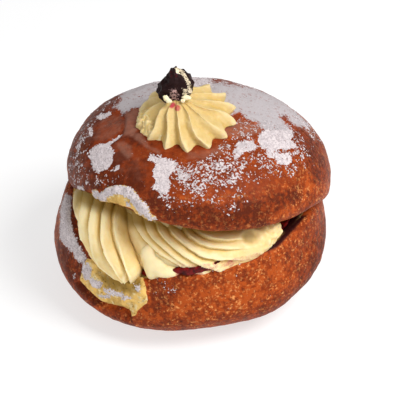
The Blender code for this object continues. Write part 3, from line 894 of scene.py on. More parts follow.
@dataclass
class Dusting:
    """Icing sugar on the bun: white powder, a thin grey film, a haze, and scattered specks."""

    white: Sequence[Patch] = (
        Patch((
            (-51.3, 3.8), (-49, 0), (-49.8, -8.4), (-46.7, -15.3), (-44.1, -21.1), (-41, -26.1),
            (-44.1, -26.1), (-47.5, -22.2), (-50.6, -19.2), (-52.9, -15.3), (-54, -9.6), (-53.6, -1.9),
        ), 0.72, 1.2),
        Patch((
            (10.7, 31.4), (23.8, 33.7), (36.8, 27.6), (42.9, 19.2), (38.3, 8.4), (23.8, 7.7),
            (13.4, 19.2),
        ), 0.37, 2.5),
        Patch((
            (-41.4, 20.3), (-38.3, 21.8), (-35.6, 21.8), (-34.1, 20.7), (-33.3, 18.4), (-33.3, 16.5),
            (-33.7, 14.2), (-35.2, 12.6), (-34.9, 11.1), (-36.8, 11.5), (-37.9, 10.7), (-39.1, 10),
            (-40.2, 11.1), (-41.4, 12.3), (-41.8, 14.6), (-42.5, 16.5), (-42.9, 18.4),
        ), 1.05, 0.9),
        Patch((
            (-36, 21.8), (-34.5, 23.4), (-33, 24.1), (-31, 25.7), (-30.1, 25.3), (-31.4, 23.9),
            (-33.3, 22.6), (-34.1, 21.1),
        ), 1.3, 0.5),
        Patch((
            (-34.1, 12.3), (-32.6, 13), (-30.7, 13.8), (-30.7, 11.9), (-32.6, 10.9), (-34.1, 11.1),
        ), 0.8, 0.6),
        Patch((
            (-40.2, 31.8), (-38.3, 33), (-36.4, 33.5), (-34.5, 34.3), (-34.1, 33.3), (-36, 32.2),
            (-38.3, 31),
        ), 1.0, 0.6),
        Patch((
            (-20.3, 16.1), (-18.4, 18), (-16.9, 16.9), (-13.8, 16.1), (-10.7, 15.3), (-8.8, 13.8),
            (-9.2, 11.9), (-10.7, 10.7), (-11.5, 8.8), (-11.1, 6.9), (-11.5, 4.6), (-12.3, 2.7),
            (-14.6, 2.3), (-16.1, 3.8), (-19.2, 3.8), (-18, 5.4), (-16.9, 7.3), (-18.4, 9.6), (-18, 11.5),
            (-16.9, 13), (-18.4, 14.9),
        ), 1.06, 1.5),
        Patch((
            (22.6, 25.3), (25.3, 26.8), (30.7, 26.8), (35.2, 27.2), (36, 24.9), (34.9, 23), (36.8, 21.8),
            (37.5, 19.9), (34.5, 19.5), (32.2, 19.2), (30.7, 19.5), (28.4, 18.4), (26.1, 18.8),
            (23.8, 19.5), (22.2, 22.6),
        ), 1.08),
        Patch((
            (24.1, 19.2), (28.7, 18.4), (32.2, 18), (34.5, 17.6), (35.6, 16.5), (35.2, 14.2), (33.3, 13),
            (31.8, 13.4), (29.9, 13.8), (28.7, 15.7), (26.1, 16.1),
        ), 0.85, 0.8),
        Patch((
            (13.8, 22.2), (17.2, 23), (20.7, 22.2), (22.2, 19.5), (19.9, 18.8), (17.2, 18.4),
            (15.3, 16.5), (13.8, 15.3), (12.3, 16.5), (13, 19.5),
        ), 0.88, 0.8),
        Patch((
            (-9.2, 14.6), (-3.8, 14.6), (0, 15.7), (4.6, 15.3), (8.4, 16.9), (13, 19.2), (17.6, 18),
            (19.9, 14.6), (16.9, 10.7), (15.3, 6.1), (10.7, 4.6), (5.4, 5.4), (2.3, 3.1), (-1.5, 0),
            (-4.6, 1.5), (-8.4, 6.1), (-10, 10),
        ), 0.50, 1.8),
        Patch((
            (-10.7, 15.3), (-5.4, 14.6), (0, 16.1), (5.7, 15.3), (9.6, 18.4), (13.4, 19.9), (17.2, 19.2),
            (23.8, 16.1), (29.1, 15.3), (30.3, 11.5), (27.6, 6.9), (23.8, 6.1), (19.2, 5.4), (17.6, 0),
            (15.3, -4.6), (10.7, -5), (5.7, -2.3), (0, -1.5), (-3.1, -3.4), (-4.6, -6.5), (-8.4, -4.6),
            (-10.7, -6.5), (-13.4, -1.9), (-18.4, 0), (-16.9, 2.7), (-11.5, 3.8), (-10.7, 7.7),
        ), 0.31, 2.2),
        Patch((
            (8.4, 25.7), (10.7, 23.4), (12.6, 20.3), (10.7, 19.2), (8, 19.2), (4.6, 16.1), (2.3, 16.9),
            (6.1, 19.5), (8.4, 22.2),
        ), 0.42),
        Patch((
            (-19.2, -32.6), (-18.4, -29.1), (-15.3, -29.5), (-10.7, -29.5), (-8.4, -32.2), (-9.2, -35.2),
            (-12.3, -37.2), (-15.3, -35.2), (-17.6, -37.9), (-19.2, -37.2), (-18.4, -34.5),
        ), 0.24, 1.5),
        Patch((
            (-45.2, -24.1), (-41.8, -23.4), (-40.2, -26.1), (-40.6, -29.1), (-38.7, -30.3),
            (-36.8, -31.4), (-37.2, -33.7), (-39.5, -33), (-41.4, -31), (-43.7, -30.3), (-44.4, -27.6),
        ), 0.85, 0.8),
        Patch((
            (-36, -32.6), (-33.7, -33), (-29.1, -34.5), (-27.6, -35.6), (-24.9, -36.4), (-25.3, -37.9),
            (-29.1, -37.2), (-32.2, -36), (-34.9, -37.9), (-37.9, -37.5), (-37.9, -36), (-34.5, -35.6),
            (-36.8, -34.1),
        ), 0.72, 0.8),
        Patch((
            (-24.5, -32.6), (-22.2, -32.6), (-21.8, -34.9), (-23.4, -35.2),
        ), 0.9, 0.6),
        Patch((
            (-37.9, 3.1), (-36.4, 3.8), (-34.5, 5), (-31.8, 5.6), (-28.7, 5.6), (-26.4, 4.6),
            (-24.5, 3.1), (-23, 0.8), (-21.1, -0.8), (-19.5, -2.7), (-18.8, -5), (-16.9, -6.1),
            (-16.5, -7.3), (-19.2, -6.9), (-21.1, -5.4), (-23, -5), (-24.9, -2.7), (-26.8, 0),
            (-29.1, 1.5), (-31.4, 2.3), (-33.7, 1.9), (-35.2, 1), (-36.8, -0.4), (-37.9, 1.1),
        ), 0.92, 0.8),
        Patch((
            (-41.4, 3.8), (-39.5, 4.2), (-37.5, 2.3), (-39.1, 1.1), (-41.4, 2.3),
        ), 0.9, 0.5),
        Patch((
            (-28.7, -0.4), (-26.8, -0.8), (-26.4, -2.7), (-28.4, -2.7),
        ), 0.9, 0.5),
        Patch((
            (-49, -28), (-47.1, -27.6), (-46.7, -29.5), (-48.7, -30.3),
        ), 0.5, 0.8),
        Patch((
            (3.1, -26.8), (10.7, -24.1), (19.9, -21.8), (20.3, -23), (12.3, -25.7), (4.6, -28),
        ), 0.36, 0.6),
        Patch((
            (-52.9, -5.4), (-50.2, -4.6), (-49.2, -9.2), (-47.9, -14.6), (-46.4, -19.2), (-46, -23.4),
            (-47.9, -22.2), (-49, -19.5), (-51.7, -17.6), (-53.6, -14.6), (-53.8, -8.4),
        )),
    )
    film: Sequence[Patch] = (
        Patch((
            (-14.6, 47.5), (-19.2, 46.4), (-23, 45.2), (-26.8, 44.1), (-30.7, 42.5), (-31, 39.5),
            (-30.3, 38.7), (-31.8, 37.2), (-33.7, 35.6), (-31, 34.7), (-31, 33.5), (-28.4, 33.7),
            (-25.7, 34.9), (-23, 35.2), (-19.9, 35.6), (-16.9, 36.8), (-14.2, 38.3), (-13, 42.1),
        ), 0.92, 1.6),
        Patch((
            (-3.8, 45.2), (0, 45.2), (4.6, 45.2), (8.4, 45.2), (13.4, 44.4), (17.2, 43.7), (21.5, 42.9),
            (26.8, 41), (31.4, 38.7), (35.6, 35.6), (39.1, 32.2), (42.9, 28.4), (40.6, 27.6), (37.5, 28),
            (36, 28.7), (33.7, 31), (32.2, 32.2), (31, 32.2), (32.6, 29.9), (34.9, 28), (36, 26.4),
            (32.6, 25.3), (26.8, 26.1), (23.8, 27.2), (21.8, 29.5), (19.2, 30.3), (17.2, 31.8),
            (15.3, 33.3), (11.5, 32.2), (5.7, 35.2), (2.3, 40.2), (0.8, 44.4),
        ), 0.92, 1.8),
        Patch((
            (-51.3, 2.3), (-52.9, -0.4), (-53.6, -3.8), (-53.8, -7.7), (-54, -12.3), (-53.6, -15.3),
            (-51.3, -17.6), (-49, -19.5), (-48.3, -21.8), (-46.7, -23.8), (-44.1, -24.1), (-44.4, -21.8),
            (-46, -20.3), (-46.4, -18), (-47.5, -15.3), (-48.9, -12.3), (-49.4, -8.4), (-49.6, -4.6),
            (-49.4, -1.1), (-48.7, 1.5),
        ), 0.95, 0.9),
    )
    haze: Sequence[Patch] = (
        Patch((
            (8.4, 27.6), (12.3, 29.1), (16.1, 31), (19.9, 30.3), (23.8, 28.4), (23.8, 26.1), (19.2, 23.8),
            (15.3, 23.4), (10.7, 24.1), (8.4, 25.7),
        ), 0.75, 1.2),
        Patch((
            (-29.1, 33.7), (-25.3, 35.2), (-19.2, 35.2), (-19.2, 32.2), (-21.5, 29.9), (-23.8, 26.8),
            (-24.9, 23.8), (-27.6, 24.5), (-29.9, 24.5), (-29.5, 29.9),
        ), 0.85, 1.2),
        Patch((
            (-25.3, 26.8), (-22.2, 25.3), (-19.2, 20.7), (-15.3, 19.2), (-15.3, 16.9), (-19.2, 19.2),
            (-23, 21.5), (-25.3, 23),
        ), 0.8),
        Patch((
            (-38.3, 31.8), (-33.7, 33.3), (-30.3, 33.3), (-29.5, 30.7), (-30.3, 26.8), (-33.7, 24.1),
            (-38.3, 22.2), (-41.4, 22.6), (-39.8, 27.6),
        ), 0.55, 1.2),
        Patch((
            (-33, 22.2), (-29.1, 22.6), (-26.1, 20.7), (-25.3, 16.9), (-27.6, 15.3), (-30.7, 18.4),
        ), 0.7),
        Patch((
            (-34.5, 22.2), (-26.8, 18.4), (-19.9, 15.3), (-18.4, 9.2), (-23, 5.4), (-30.7, 9.2),
            (-33.7, 12.3),
        ), 0.35, 2.0),
        Patch((
            (-5.4, 19.2), (0, 19.2), (6.1, 20.7), (10, 23), (12.3, 19.9), (7.7, 16.9), (1.5, 15.3),
            (-5.4, 15.3),
        ), 0.6, 1.5),
        Patch((
            (-31.4, 39.8), (-36, 37.9), (-40.6, 34.5), (-44.4, 29.1), (-47.5, 23), (-49.4, 16.9),
            (-50.2, 10.7), (-49.8, 5.4), (-46, 4.2), (-41.4, 6.1), (-40.6, 10), (-42.9, 15.3),
            (-42.9, 20.7), (-39.8, 23.8), (-39.1, 29.1), (-39.8, 32.2), (-35.2, 35.2), (-31.4, 37.2),
        ), 0.38, 1.5),
        Patch((
            (35.2, 34.5), (39.8, 31.4), (43.7, 26.8), (46, 22.2), (42.9, 23), (39.8, 26.8), (36.8, 27.6),
        ), 0.6, 1.5),
        Patch((
            (-54.4, 1.5), (-49.8, 4.6), (-48.3, 1.5), (-49.8, -2.3), (-52.9, 0),
        ), 0.6),
    )
    specks: Sequence[Patch] = (
        Patch((
            (-30.7, 40.2), (-34.5, 38.7), (-38.3, 35.6), (-42.1, 32.2), (-45.2, 28.4), (-47.5, 23),
            (-49.4, 18.4), (-50.2, 13.4), (-50.2, 7.7), (-48.7, 3.8), (-45.2, 3.8), (-42.1, 5.4),
            (-40.2, 9.6), (-42.1, 12.3), (-43.3, 16.1), (-43.7, 19.9), (-41.4, 22.6), (-41.4, 26.8),
            (-39.1, 29.9), (-40.6, 31.8), (-36.8, 34.9), (-31.4, 36.8),
        ), 0.3, 1.5),
        Patch((
            (-46, 28), (-44.4, 28), (-44.1, 22.6), (-46.4, 15.3), (-45.2, 10.7), (-47.1, 11.5),
            (-48.3, 16.1), (-47.5, 21.5),
        ), 0.45, 1.2),
        Patch((
            (-42.9, 27.6), (-41.4, 28), (-41, 24.5), (-42.5, 24.1),
        ), 0.8, 0.6),
        Patch((
            (-47.1, 5.4), (-44.8, 5.4), (-44.4, 3.8), (-47.1, 3.8),
        ), 0.9, 0.5),
        Patch((
            (-42.9, 11.5), (-38.3, 9.6), (-33.7, 10.7), (-31.4, 9.2), (-33, 5.4), (-38.3, 3.8),
            (-42.1, 4.6),
        ), 0.28, 1.5),
        Patch((
            (34.5, 33.7), (39.1, 32.2), (43.7, 27.6), (46.7, 22.2), (44.4, 22.2), (40.6, 26.1),
            (37.5, 29.1),
        ), 0.45, 1.2),
        Patch((
            (-3.8, 47.5), (5.7, 47.1), (13.4, 45.2), (21.1, 43.7), (30.7, 39.5), (35.2, 36), (33, 36),
            (23.8, 41), (15.3, 43.3), (4.6, 44.8), (-3.8, 45.2),
        ), 0.35, 0.8),
        Patch((
            (-18, 40), (-16, 50), (4, 50), (6, 44), (3, 39), (-5, 35), (-14, 36),
        ), 0.8, 2.5),
    )
    hidden_slopes: Span = (0.1, 0.6)  # of the normals, where the drawn patches do not reach
    hidden_heights: Span = (50.0, 60.0)
    hidden_powder: float = 0.35
    hidden_haze: float = 0.4
    hidden_film: float = 0.30
    hidden_crown: float = 0.48  # film added towards the crown
    crown_heights: Span = (60.0, 72.0)
    hidden_swells: Swells = ((8.0, 0.4, 31.0),)

    def marks(self, drawn: np.ndarray, sight: np.ndarray, points: np.ndarray,
              normals: np.ndarray) -> dict[str, np.ndarray]:
        """How strong each kind of sugar is.

        Args:
            drawn: drawn places of the bun's points.
            sight: share by which they can be seen.
            points: in millimetres.
            normals: at the points.

        Returns:
            Strengths by the name of the mark.
        """
        height = points[:, 2]
        hidden = (1 - sight) * rise(normals[:, 2], *self.hidden_slopes) * rise(height, *self.hidden_heights)
        powder = np.maximum(greatest(self.white, drawn), greatest(self.specks, drawn))
        back = self.hidden_film + self.hidden_crown * rise(height, *self.crown_heights)
        back += swell(points, self.hidden_swells)
        return {
            "sugar": powder * sight + self.hidden_powder * hidden,
            "film": greatest(self.film, drawn) * sight + hidden * back,
            "haze": greatest(self.haze, drawn) * sight + self.hidden_haze * hidden,
        }


def greatest(patches: Sequence[Patch], drawn: np.ndarray) -> np.ndarray:
    """Strongest of several drawn patches at drawn places."""
    return np.max([patch.cover(drawn) for patch in patches], axis=0)


@dataclass
class Tear:
    """Crumb that shows where the crust has torn: low at the front left, and along the lid's lip."""

    opening: Sequence[Patch] = (
        Patch((
            (-44.4, -24.5), (-42.5, -22.2), (-40.6, -22.6), (-37.9, -24.9), (-35.2, -27.2),
            (-32.2, -28.7), (-27.6, -29.9), (-23.8, -29.9), (-21.8, -28.7), (-20.7, -32.2),
            (-20.3, -35.2), (-19.5, -37.2), (-19.9, -39.1), (-21.8, -40.6), (-23.4, -42.1),
            (-24.5, -44.1), (-26.4, -44.8), (-28, -42.5), (-30.3, -41.4), (-33.7, -40.6), (-36.8, -40),
            (-39.1, -38.9), (-41.4, -37.2), (-43.3, -34.9), (-44.8, -33), (-46, -30.7), (-44.4, -27.2),
        ), 1.0, 0.6),
    )
    shade: Sequence[Patch] = (
        Patch((
            (-39.1, -26.1), (-35.2, -28.4), (-31.4, -29.9), (-26.8, -30.7), (-22.2, -29.9), (-21.5, -33),
            (-23.8, -34.9), (-28.4, -35.2), (-33, -33.7), (-36.8, -31),
        ), 1.0, 1.2),
        Patch((
            (-46, -31), (-43.7, -34.5), (-41, -37.5), (-37.9, -39.8), (-34.1, -41), (-29.9, -41.8),
            (-31.4, -42.9), (-36, -42.5), (-39.8, -40.6), (-43.7, -37.5), (-46, -34.5),
        ), 0.7, 0.7),
    )
    roll: Sequence[Patch] = (
        Patch((
            (-37.9, 2.7), (-36.4, 3.8), (-34.5, 5), (-31.8, 5.6), (-28.7, 5.6), (-26.4, 4.6),
            (-24.5, 3.1), (-23, 0.8), (-21.1, -0.8), (-19.5, -2.7), (-18.8, -5), (-16.9, -6.1),
            (-16.5, -7.3), (-19.2, -7.3), (-21.8, -6.5), (-24.5, -5.4), (-25.7, -3.8), (-28.4, -2.7),
            (-30.7, -1.9), (-33.3, -1.1), (-36.8, -0.4), (-38.3, 1.1),
        ), 1.0, 0.5),
        Patch((
            (-41.4, 3.8), (-39.5, 4.2), (-37.5, 2.3), (-39.1, 1.1), (-41.4, 1.9),
        ), 1.0, 0.5),
    )
    crease: Knots = (
        (-46.4, -31.8), (-44.4, -34.1), (-42.1, -36.6), (-39.8, -38.5), (-37.5, -39.8), (-34.1, -40.6),
        (-30.7, -41.4), (-28.4, -42.3), (-27.6, -43.7), (-27.2, -45.2),
    )
    roll_ridge: Knots = (
        (-37.9, 1.9), (-35.2, 3.4), (-31.8, 4.2), (-28.4, 3.8), (-25.7, 1.9), (-23, -1.1), (-20.7, -3.4),
        (-19.2, -5.7),
    )
    bulge: float = 1.5
    bulge_from_crease: Span = (0.5, 5.0)
    crease_depth: float = 1.9
    crease_width: float = 0.8
    lumps: Swells = ((2.6, 0.9, 3.0), (1.3, 0.5, 4.0))
    roll_lift: float = 1.3
    roll_width: float = 2.6
    roll_lumps: Swells = ((1.9, 0.6, 5.0), (1.0, 0.3, 6.0))

    def lower(self, drawn: np.ndarray, points: np.ndarray) -> tuple[np.ndarray, np.ndarray]:
        """Share of crumb in the lower half, and its relief in millimetres."""
        share = greatest(self.opening, drawn)
        away = distance_from(drawn, self.crease)
        depth = self.crease_depth * np.exp(-((away / self.crease_width) ** 2))
        bulge = self.bulge * rise(away, *self.bulge_from_crease) * share
        return share, bulge - depth + share * swell(points, self.lumps)

    def upper(self, drawn: np.ndarray, points: np.ndarray) -> tuple[np.ndarray, np.ndarray]:
        """Share of crumb in the lid's lip, and its relief in millimetres."""
        share = greatest(self.roll, drawn)
        away = distance_from(drawn, self.roll_ridge)
        lift = self.roll_lift * np.exp(-((away / self.roll_width) ** 2)) + swell(points, self.roll_lumps)
        return share, share * lift


@dataclass
class Bun:
    """Bun of fried dough: both halves, hinged at the back, torn at the front left and dusted with sugar."""

    voxel: float = 0.74
    smoothing: int = 26
    lid_centre: Span = (3.27, 2.14)
    base_centre: Span = (-0.03, -0.86)
    inside_radii: Span = (45.5, 43.0)  # of the lower half, between which the cut face starts
    ceiling_radii: Span = (41.5, 39.0)  # of the lid
    inside_heights: Span = (24.0, 58.0)
    halves_meet: Span = (-1.5, 1.5)  # heights about the mouth's line between which the lid begins
    torn_left: Span = (-95.0, -85.0)  # azimuths between which the torn places begin and end
    torn_right: Span = (20.0, 0.0)
    lip_heights: Span = (70.0, 67.0)
    turned_to_eye: Span = (0.05, 0.25)
    foot_heights: Span = (0.0, 4.0)  # between which the relief begins
    calm_crumb: float = 0.5  # share of the crust's unevenness that torn crumb loses
    mouth: Knots = ((-110, 36), (-88, 38.7), (-74, 41), (-55, 43), (-23, 42), (0, 43.5), (24, 44), (49, 43),
                    (68, 42), (84, 38.5), (110, 37))
    swells: Swells = ((9.0, 0.30, 9.0), (3.4, 0.16, 3.4), (1.7, 0.09, 1.7))
    fold: Knots = (
        (-31, 34.1), (-29.7, 33), (-29.1, 31), (-29.3, 28.7), (-30.1, 26.4), (-31.8, 24.5), (-34.1, 23),
    )
    fold_depth: float = 0.8
    fold_width: float = 0.8
    fold_heights: Span = (60.0, 64.0)
    hollow: Patch = Patch((
        (-38.3, 31.8), (-34.5, 33.3), (-30.3, 33.3), (-29.7, 29.9), (-31, 26.4), (-34.5, 23.8),
        (-38.3, 23), (-40.2, 26.1),
    ), 1.0, 2.5)
    hollow_depth: float = 0.9
    juice_and_shade_span: Span = (44.0, 54.0)  # azimuths between which the inside turns near-black: jam juice, and painted shade in the hollow at the mouth's right end
    # Darker crust, added to the tone: partly baked colour, partly painted shade along the bottom edge, the
    # lower right edge and the left side.
    dark: Sequence[Patch] = (
        # Painted shade along the lower right edge.
        Patch((
            (22.2, -46.7), (34.5, -40.2), (42.9, -31.4), (48.3, -19.2), (49.8, -5.7), (45.6, -8.4),
            (43.3, -19.2), (37.9, -29.5), (31, -36.8), (21.5, -41.8),
        ), 0.45, 2.5),
        # Painted shade along the bottom edge.
        Patch((
            (-26.8, -50.6), (-3.8, -50.6), (19.2, -46.7), (19.2, -42.9), (-3.8, -46.4), (-23, -46.7),
        ), 0.3, 2.5),
        Patch((
            (37.9, 28.4), (42.9, 26.1), (46.7, 21.5), (49.4, 13), (49.8, 7.7), (46.7, 6.1), (42.9, 6.9),
            (40.2, 13), (39.1, 18.4), (36, 22.2), (35.6, 25.3),
        ), 0.45, 1.8),
        Patch((
            (-20.7, 5.4), (-13.4, 1.5), (-1.9, -2.3), (9.6, -1.5), (23.8, 1.5), (38.3, 5.4), (38.3, 0),
            (33, -3.1), (23.8, -10), (7.7, -10.7), (-3.8, -10), (-13.4, -7.7), (-17.2, -5.4),
            (-19.9, -1.5),
        ), 0.38, 2.0),
        Patch((
            (-33.3, 19.2), (-29.9, 17.6), (-25.3, 15.3), (-19.2, 9.2), (-19.2, 3.8), (-24.5, 1.5),
            (-29.1, 5.4), (-38.3, 4.6), (-41.4, 7.7), (-38.3, 10), (-33.7, 10.7),
        ), 0.35, 2.0),
        Patch((
            (-31.4, 26.8), (-25.3, 27.6), (-19.9, 23.8), (-24.5, 21.5), (-29.9, 22.2),
        ), 0.25, 1.5),
        Patch((
            (-19.9, -29.1), (-11.5, -29.1), (-7.7, -31.4), (-9.2, -38.3), (-13, -42.9), (-17.6, -42.9),
            (-19.9, -39.8), (-19.2, -36.8),
        ), 0.42, 2.0),
        Patch((
            (-54.8, -15.3), (-51.3, -18.4), (-48.3, -22.2), (-44.4, -25.3), (-45.2, -31.4),
            (-43.7, -35.2), (-38.3, -40.2), (-41.4, -40.2), (-47.5, -35.2), (-51.3, -29.1),
            (-54.4, -21.5),
        ), 0.6, 1.5),
        Patch((
            (31.4, -18.4), (46, -4.6), (48.3, -7.7), (46.7, -19.2), (42.1, -28.7), (34.5, -34.5),
            (35.2, -26.8),
        ), 0.25, 3.0),
        Patch((
            (-31.4, -41.4), (-27.6, -42.5), (-26.1, -45.2), (-23, -47.5), (-26.1, -49.8), (-33.7, -46.7),
            (-36.8, -43.7),
        ), 0.4, 1.5),
        Patch((
            (-30.7, 40.6), (-35.2, 37.9), (-39.8, 33.7), (-44.4, 28.4), (-48.3, 21.5), (-49.8, 13.8),
            (-49.8, 6.1), (-46.7, 3.8), (-40.6, 4.6), (-39.1, 9.2), (-42.1, 15.3), (-42.1, 20.7),
            (-39.1, 24.5), (-39.1, 29.9), (-36.8, 34.5), (-31.4, 37.5),
        ), 0.45, 2.0),
        Patch((
            (-49.8, 2.3), (-47.5, 2.3), (-48.3, -2.3), (-48.7, -6.1), (-47.9, -10.7), (-46, -14.6),
            (-44.4, -18.4), (-41.4, -22.6), (-38.3, -25.7), (-39.8, -26.1), (-43.7, -22.6), (-46, -19.2),
            (-47.5, -15.3), (-49, -11.5), (-49.8, -4.6),
        ), 0.7, 0.7),
    )
    # Painted shade: the near-black juice colour in the hollow on the rim at the mouth's right end.
    shaded_hollow_rim: Sequence[Patch] = (
        Patch((
            (23.4, -18.8), (26.1, -17.6), (29.5, -15.3), (32.6, -11.9), (37.9, -6.5), (41.4, -5.4),
            (38.3, -8.8), (35.2, -12.3), (31.4, -16.5), (28.7, -18.8), (25.3, -19.9),
        ), 1.0, 0.5),
    )
    # Crust tone round the lid and the lower half: partly baked colour, partly painted shade, which darkens
    # the left side and the right edge.
    bake_and_shade_lid: Knots = (
        (-180, 0.66), (-90, 0.76), (-45, 0.76), (-10, 0.62), (25, 0.54), (60, 0.40), (95, 0.52),
    )
    bake_and_shade_base: Knots = (
        (-180, 0.45), (-90, 0.60), (-55, 0.50), (-25, 0.34), (0, 0.28), (40, 0.28), (80, 0.52), (130, 0.55),
    )
    # Crust darker towards the foot, between these heights.
    foot_darkening: float = 0.15
    foot_darkening_heights: Span = (14.0, 4.0)
    rough_heights: Span = (70.0, 56.0)  # of the lid, whose top is smooth
    dusting: Dusting = field(default_factory=Dusting)
    torn: Tear = field(default_factory=Tear)
    finish: CrustFinish = CrustFinish()

    def polar(self, points: np.ndarray, centre: Span) -> tuple[np.ndarray, np.ndarray]:
        """Azimuths in degrees and radii in millimetres of points round a centre."""
        x, y = points[:, 0] - centre[0], points[:, 1] - centre[1]
        return np.degrees(np.arctan2(x, -y)), np.hypot(x, y)

    def build(self) -> bpy.types.Object:
        """Makes the bun from its solid, with its relief, its marks and its finish.

        Returns:
            The bun.
        """
        obj = fused(copy_of(Solid.BUN, "fried_bun"), self.voxel, self.smoothing)
        points = points_of(obj)
        drawn = SIGHT.drawn(points)
        base_azimuth, base_radius = self.polar(points, self.base_centre)
        lid_azimuth, lid_radius = self.polar(points, self.lid_centre)
        height = points[:, 2]
        upper = rise(height - turned(base_azimuth, self.mouth), *self.halves_meet)
        low, high = self.inside_heights
        inside_base = rise(base_radius, *self.inside_radii)
        inside_lid = rise(lid_radius, *self.ceiling_radii)
        inside = (inside_base * (1 - upper) + inside_lid * upper) * (height > low) * (height < high)
        outer = 1 - inside
        front = rise(base_azimuth, *self.torn_left) * rise(base_azimuth, *self.torn_right)
        gap, gap_relief = self.torn.lower(drawn, points)
        lip, lip_relief = self.torn.upper(drawn, points)
        facing = rise(-(normals_of(obj) @ SIGHT.axes()[1]), *self.turned_to_eye)
        low_front = front * outer * (1 - upper) * facing
        high_front = front * outer * upper * rise(height, *self.lip_heights)
        lift = swell(points, self.swells) * outer * (1 - self.calm_crumb * gap * low_front)
        lift += gap_relief * low_front + lip_relief * high_front + self.lid_relief(drawn, height)
        lift *= rise(height, *self.foot_heights)
        points = points + normals_of(obj) * lift[:, None]
        points[:, 2] = np.maximum(points[:, 2], 0)
        set_points(obj, points)
        sight = in_sight(obj)
        for name, amount in self.dusting.marks(drawn, sight, points, normals_of(obj)).items():
            mark(obj, name, amount * outer)
        mark(obj, "crumb", np.maximum.reduce([inside, gap * low_front, lip * high_front]))
        mark(obj, "shade", greatest(self.torn.shade, drawn) * low_front)
        # Inside the mouth's right end: jam juice and painted shade of the hollow; on the rim below, painted
        # shade only.
        juice_and_shade = inside * (1 - upper) * rise(base_azimuth, *self.juice_and_shade_span)
        mark(obj, "juice", np.maximum(juice_and_shade, greatest(self.shaded_hollow_rim, drawn) * sight * (1 - upper)))
        lid_bake_and_shade = turned(lid_azimuth, self.bake_and_shade_lid)
        base_bake_and_shade = turned(base_azimuth, self.bake_and_shade_base)
        base_bake_and_shade += self.foot_darkening * rise(height, *self.foot_darkening_heights)
        # Crust tone: baked colour, painted shade on the left and along the lower edges, and darker towards
        # the foot.
        mark(obj, "bake_and_shade", base_bake_and_shade * (1 - upper) + lid_bake_and_shade * upper + greatest(self.dark, drawn) * sight)
        mark(obj, "rough", (1 - upper) + upper * rise(height, *self.rough_heights))
        self.finish.dress(obj)
        return served(obj, Slot.CRUST, Solid.BUN)

    def lid_relief(self, drawn: np.ndarray, height: np.ndarray) -> np.ndarray:
        """Wrinkle on the lid's left and the hollow beside it, in millimetres."""
        top = rise(height, *self.fold_heights)
        wrinkle = self.fold_depth * np.exp(-((distance_from(drawn, self.fold) / self.fold_width) ** 2))
        return -top * (wrinkle + self.hollow_depth * self.hollow.cover(drawn))


@dataclass
class Rope:
    """Round rope of cream along a path, with round ends. Sizes are in millimetres."""

    name: str
    path: Sequence[Point]
    radii: Sequence[float]
    rings: int = 140
    sides: int = 220
    end_rings: int = 20
    end_reach: float = 0.6  # share of the radius by which an end stands beyond the path

    def build(self) -> bpy.types.Object:
        """Sweeps a circle along the path.

        Returns:
            The rope.
        """
        shares = np.linspace(0, 1, self.rings)
        centres = along(self.path, shares)
        sizes = along([[r] for r in self.radii], shares)[:, 0]
        ahead = np.gradient(centres, axis=0)
        ahead /= np.linalg.norm(ahead, axis=1)[:, None]
        side = np.cross(ahead, (0, 0, 1))
        side /= np.linalg.norm(side, axis=1)[:, None]
        up = np.cross(side, ahead)
        angle = np.arange(self.sides) * 2 * np.pi / self.sides
        spokes = np.cos(angle)[:, None, None] * side - np.sin(angle)[:, None, None] * up
        layers = list(np.swapaxes(centres + sizes[:, None] * spokes, 0, 1))
        turns = np.linspace(0, np.pi / 2, self.end_rings + 1)[1:-1]
        first, last = [
            [centre + np.cos(t) * (layer - centre) + beyond * self.end_reach * np.sin(t) for t in turns]
            for layer, centre, beyond in (
                (layers[0], centres[0], -ahead[0] * sizes[0]),
                (layers[-1], centres[-1], ahead[-1] * sizes[-1]),
            )
        ]
        return lathe(self.name, [*first[::-1], *layers, *last])


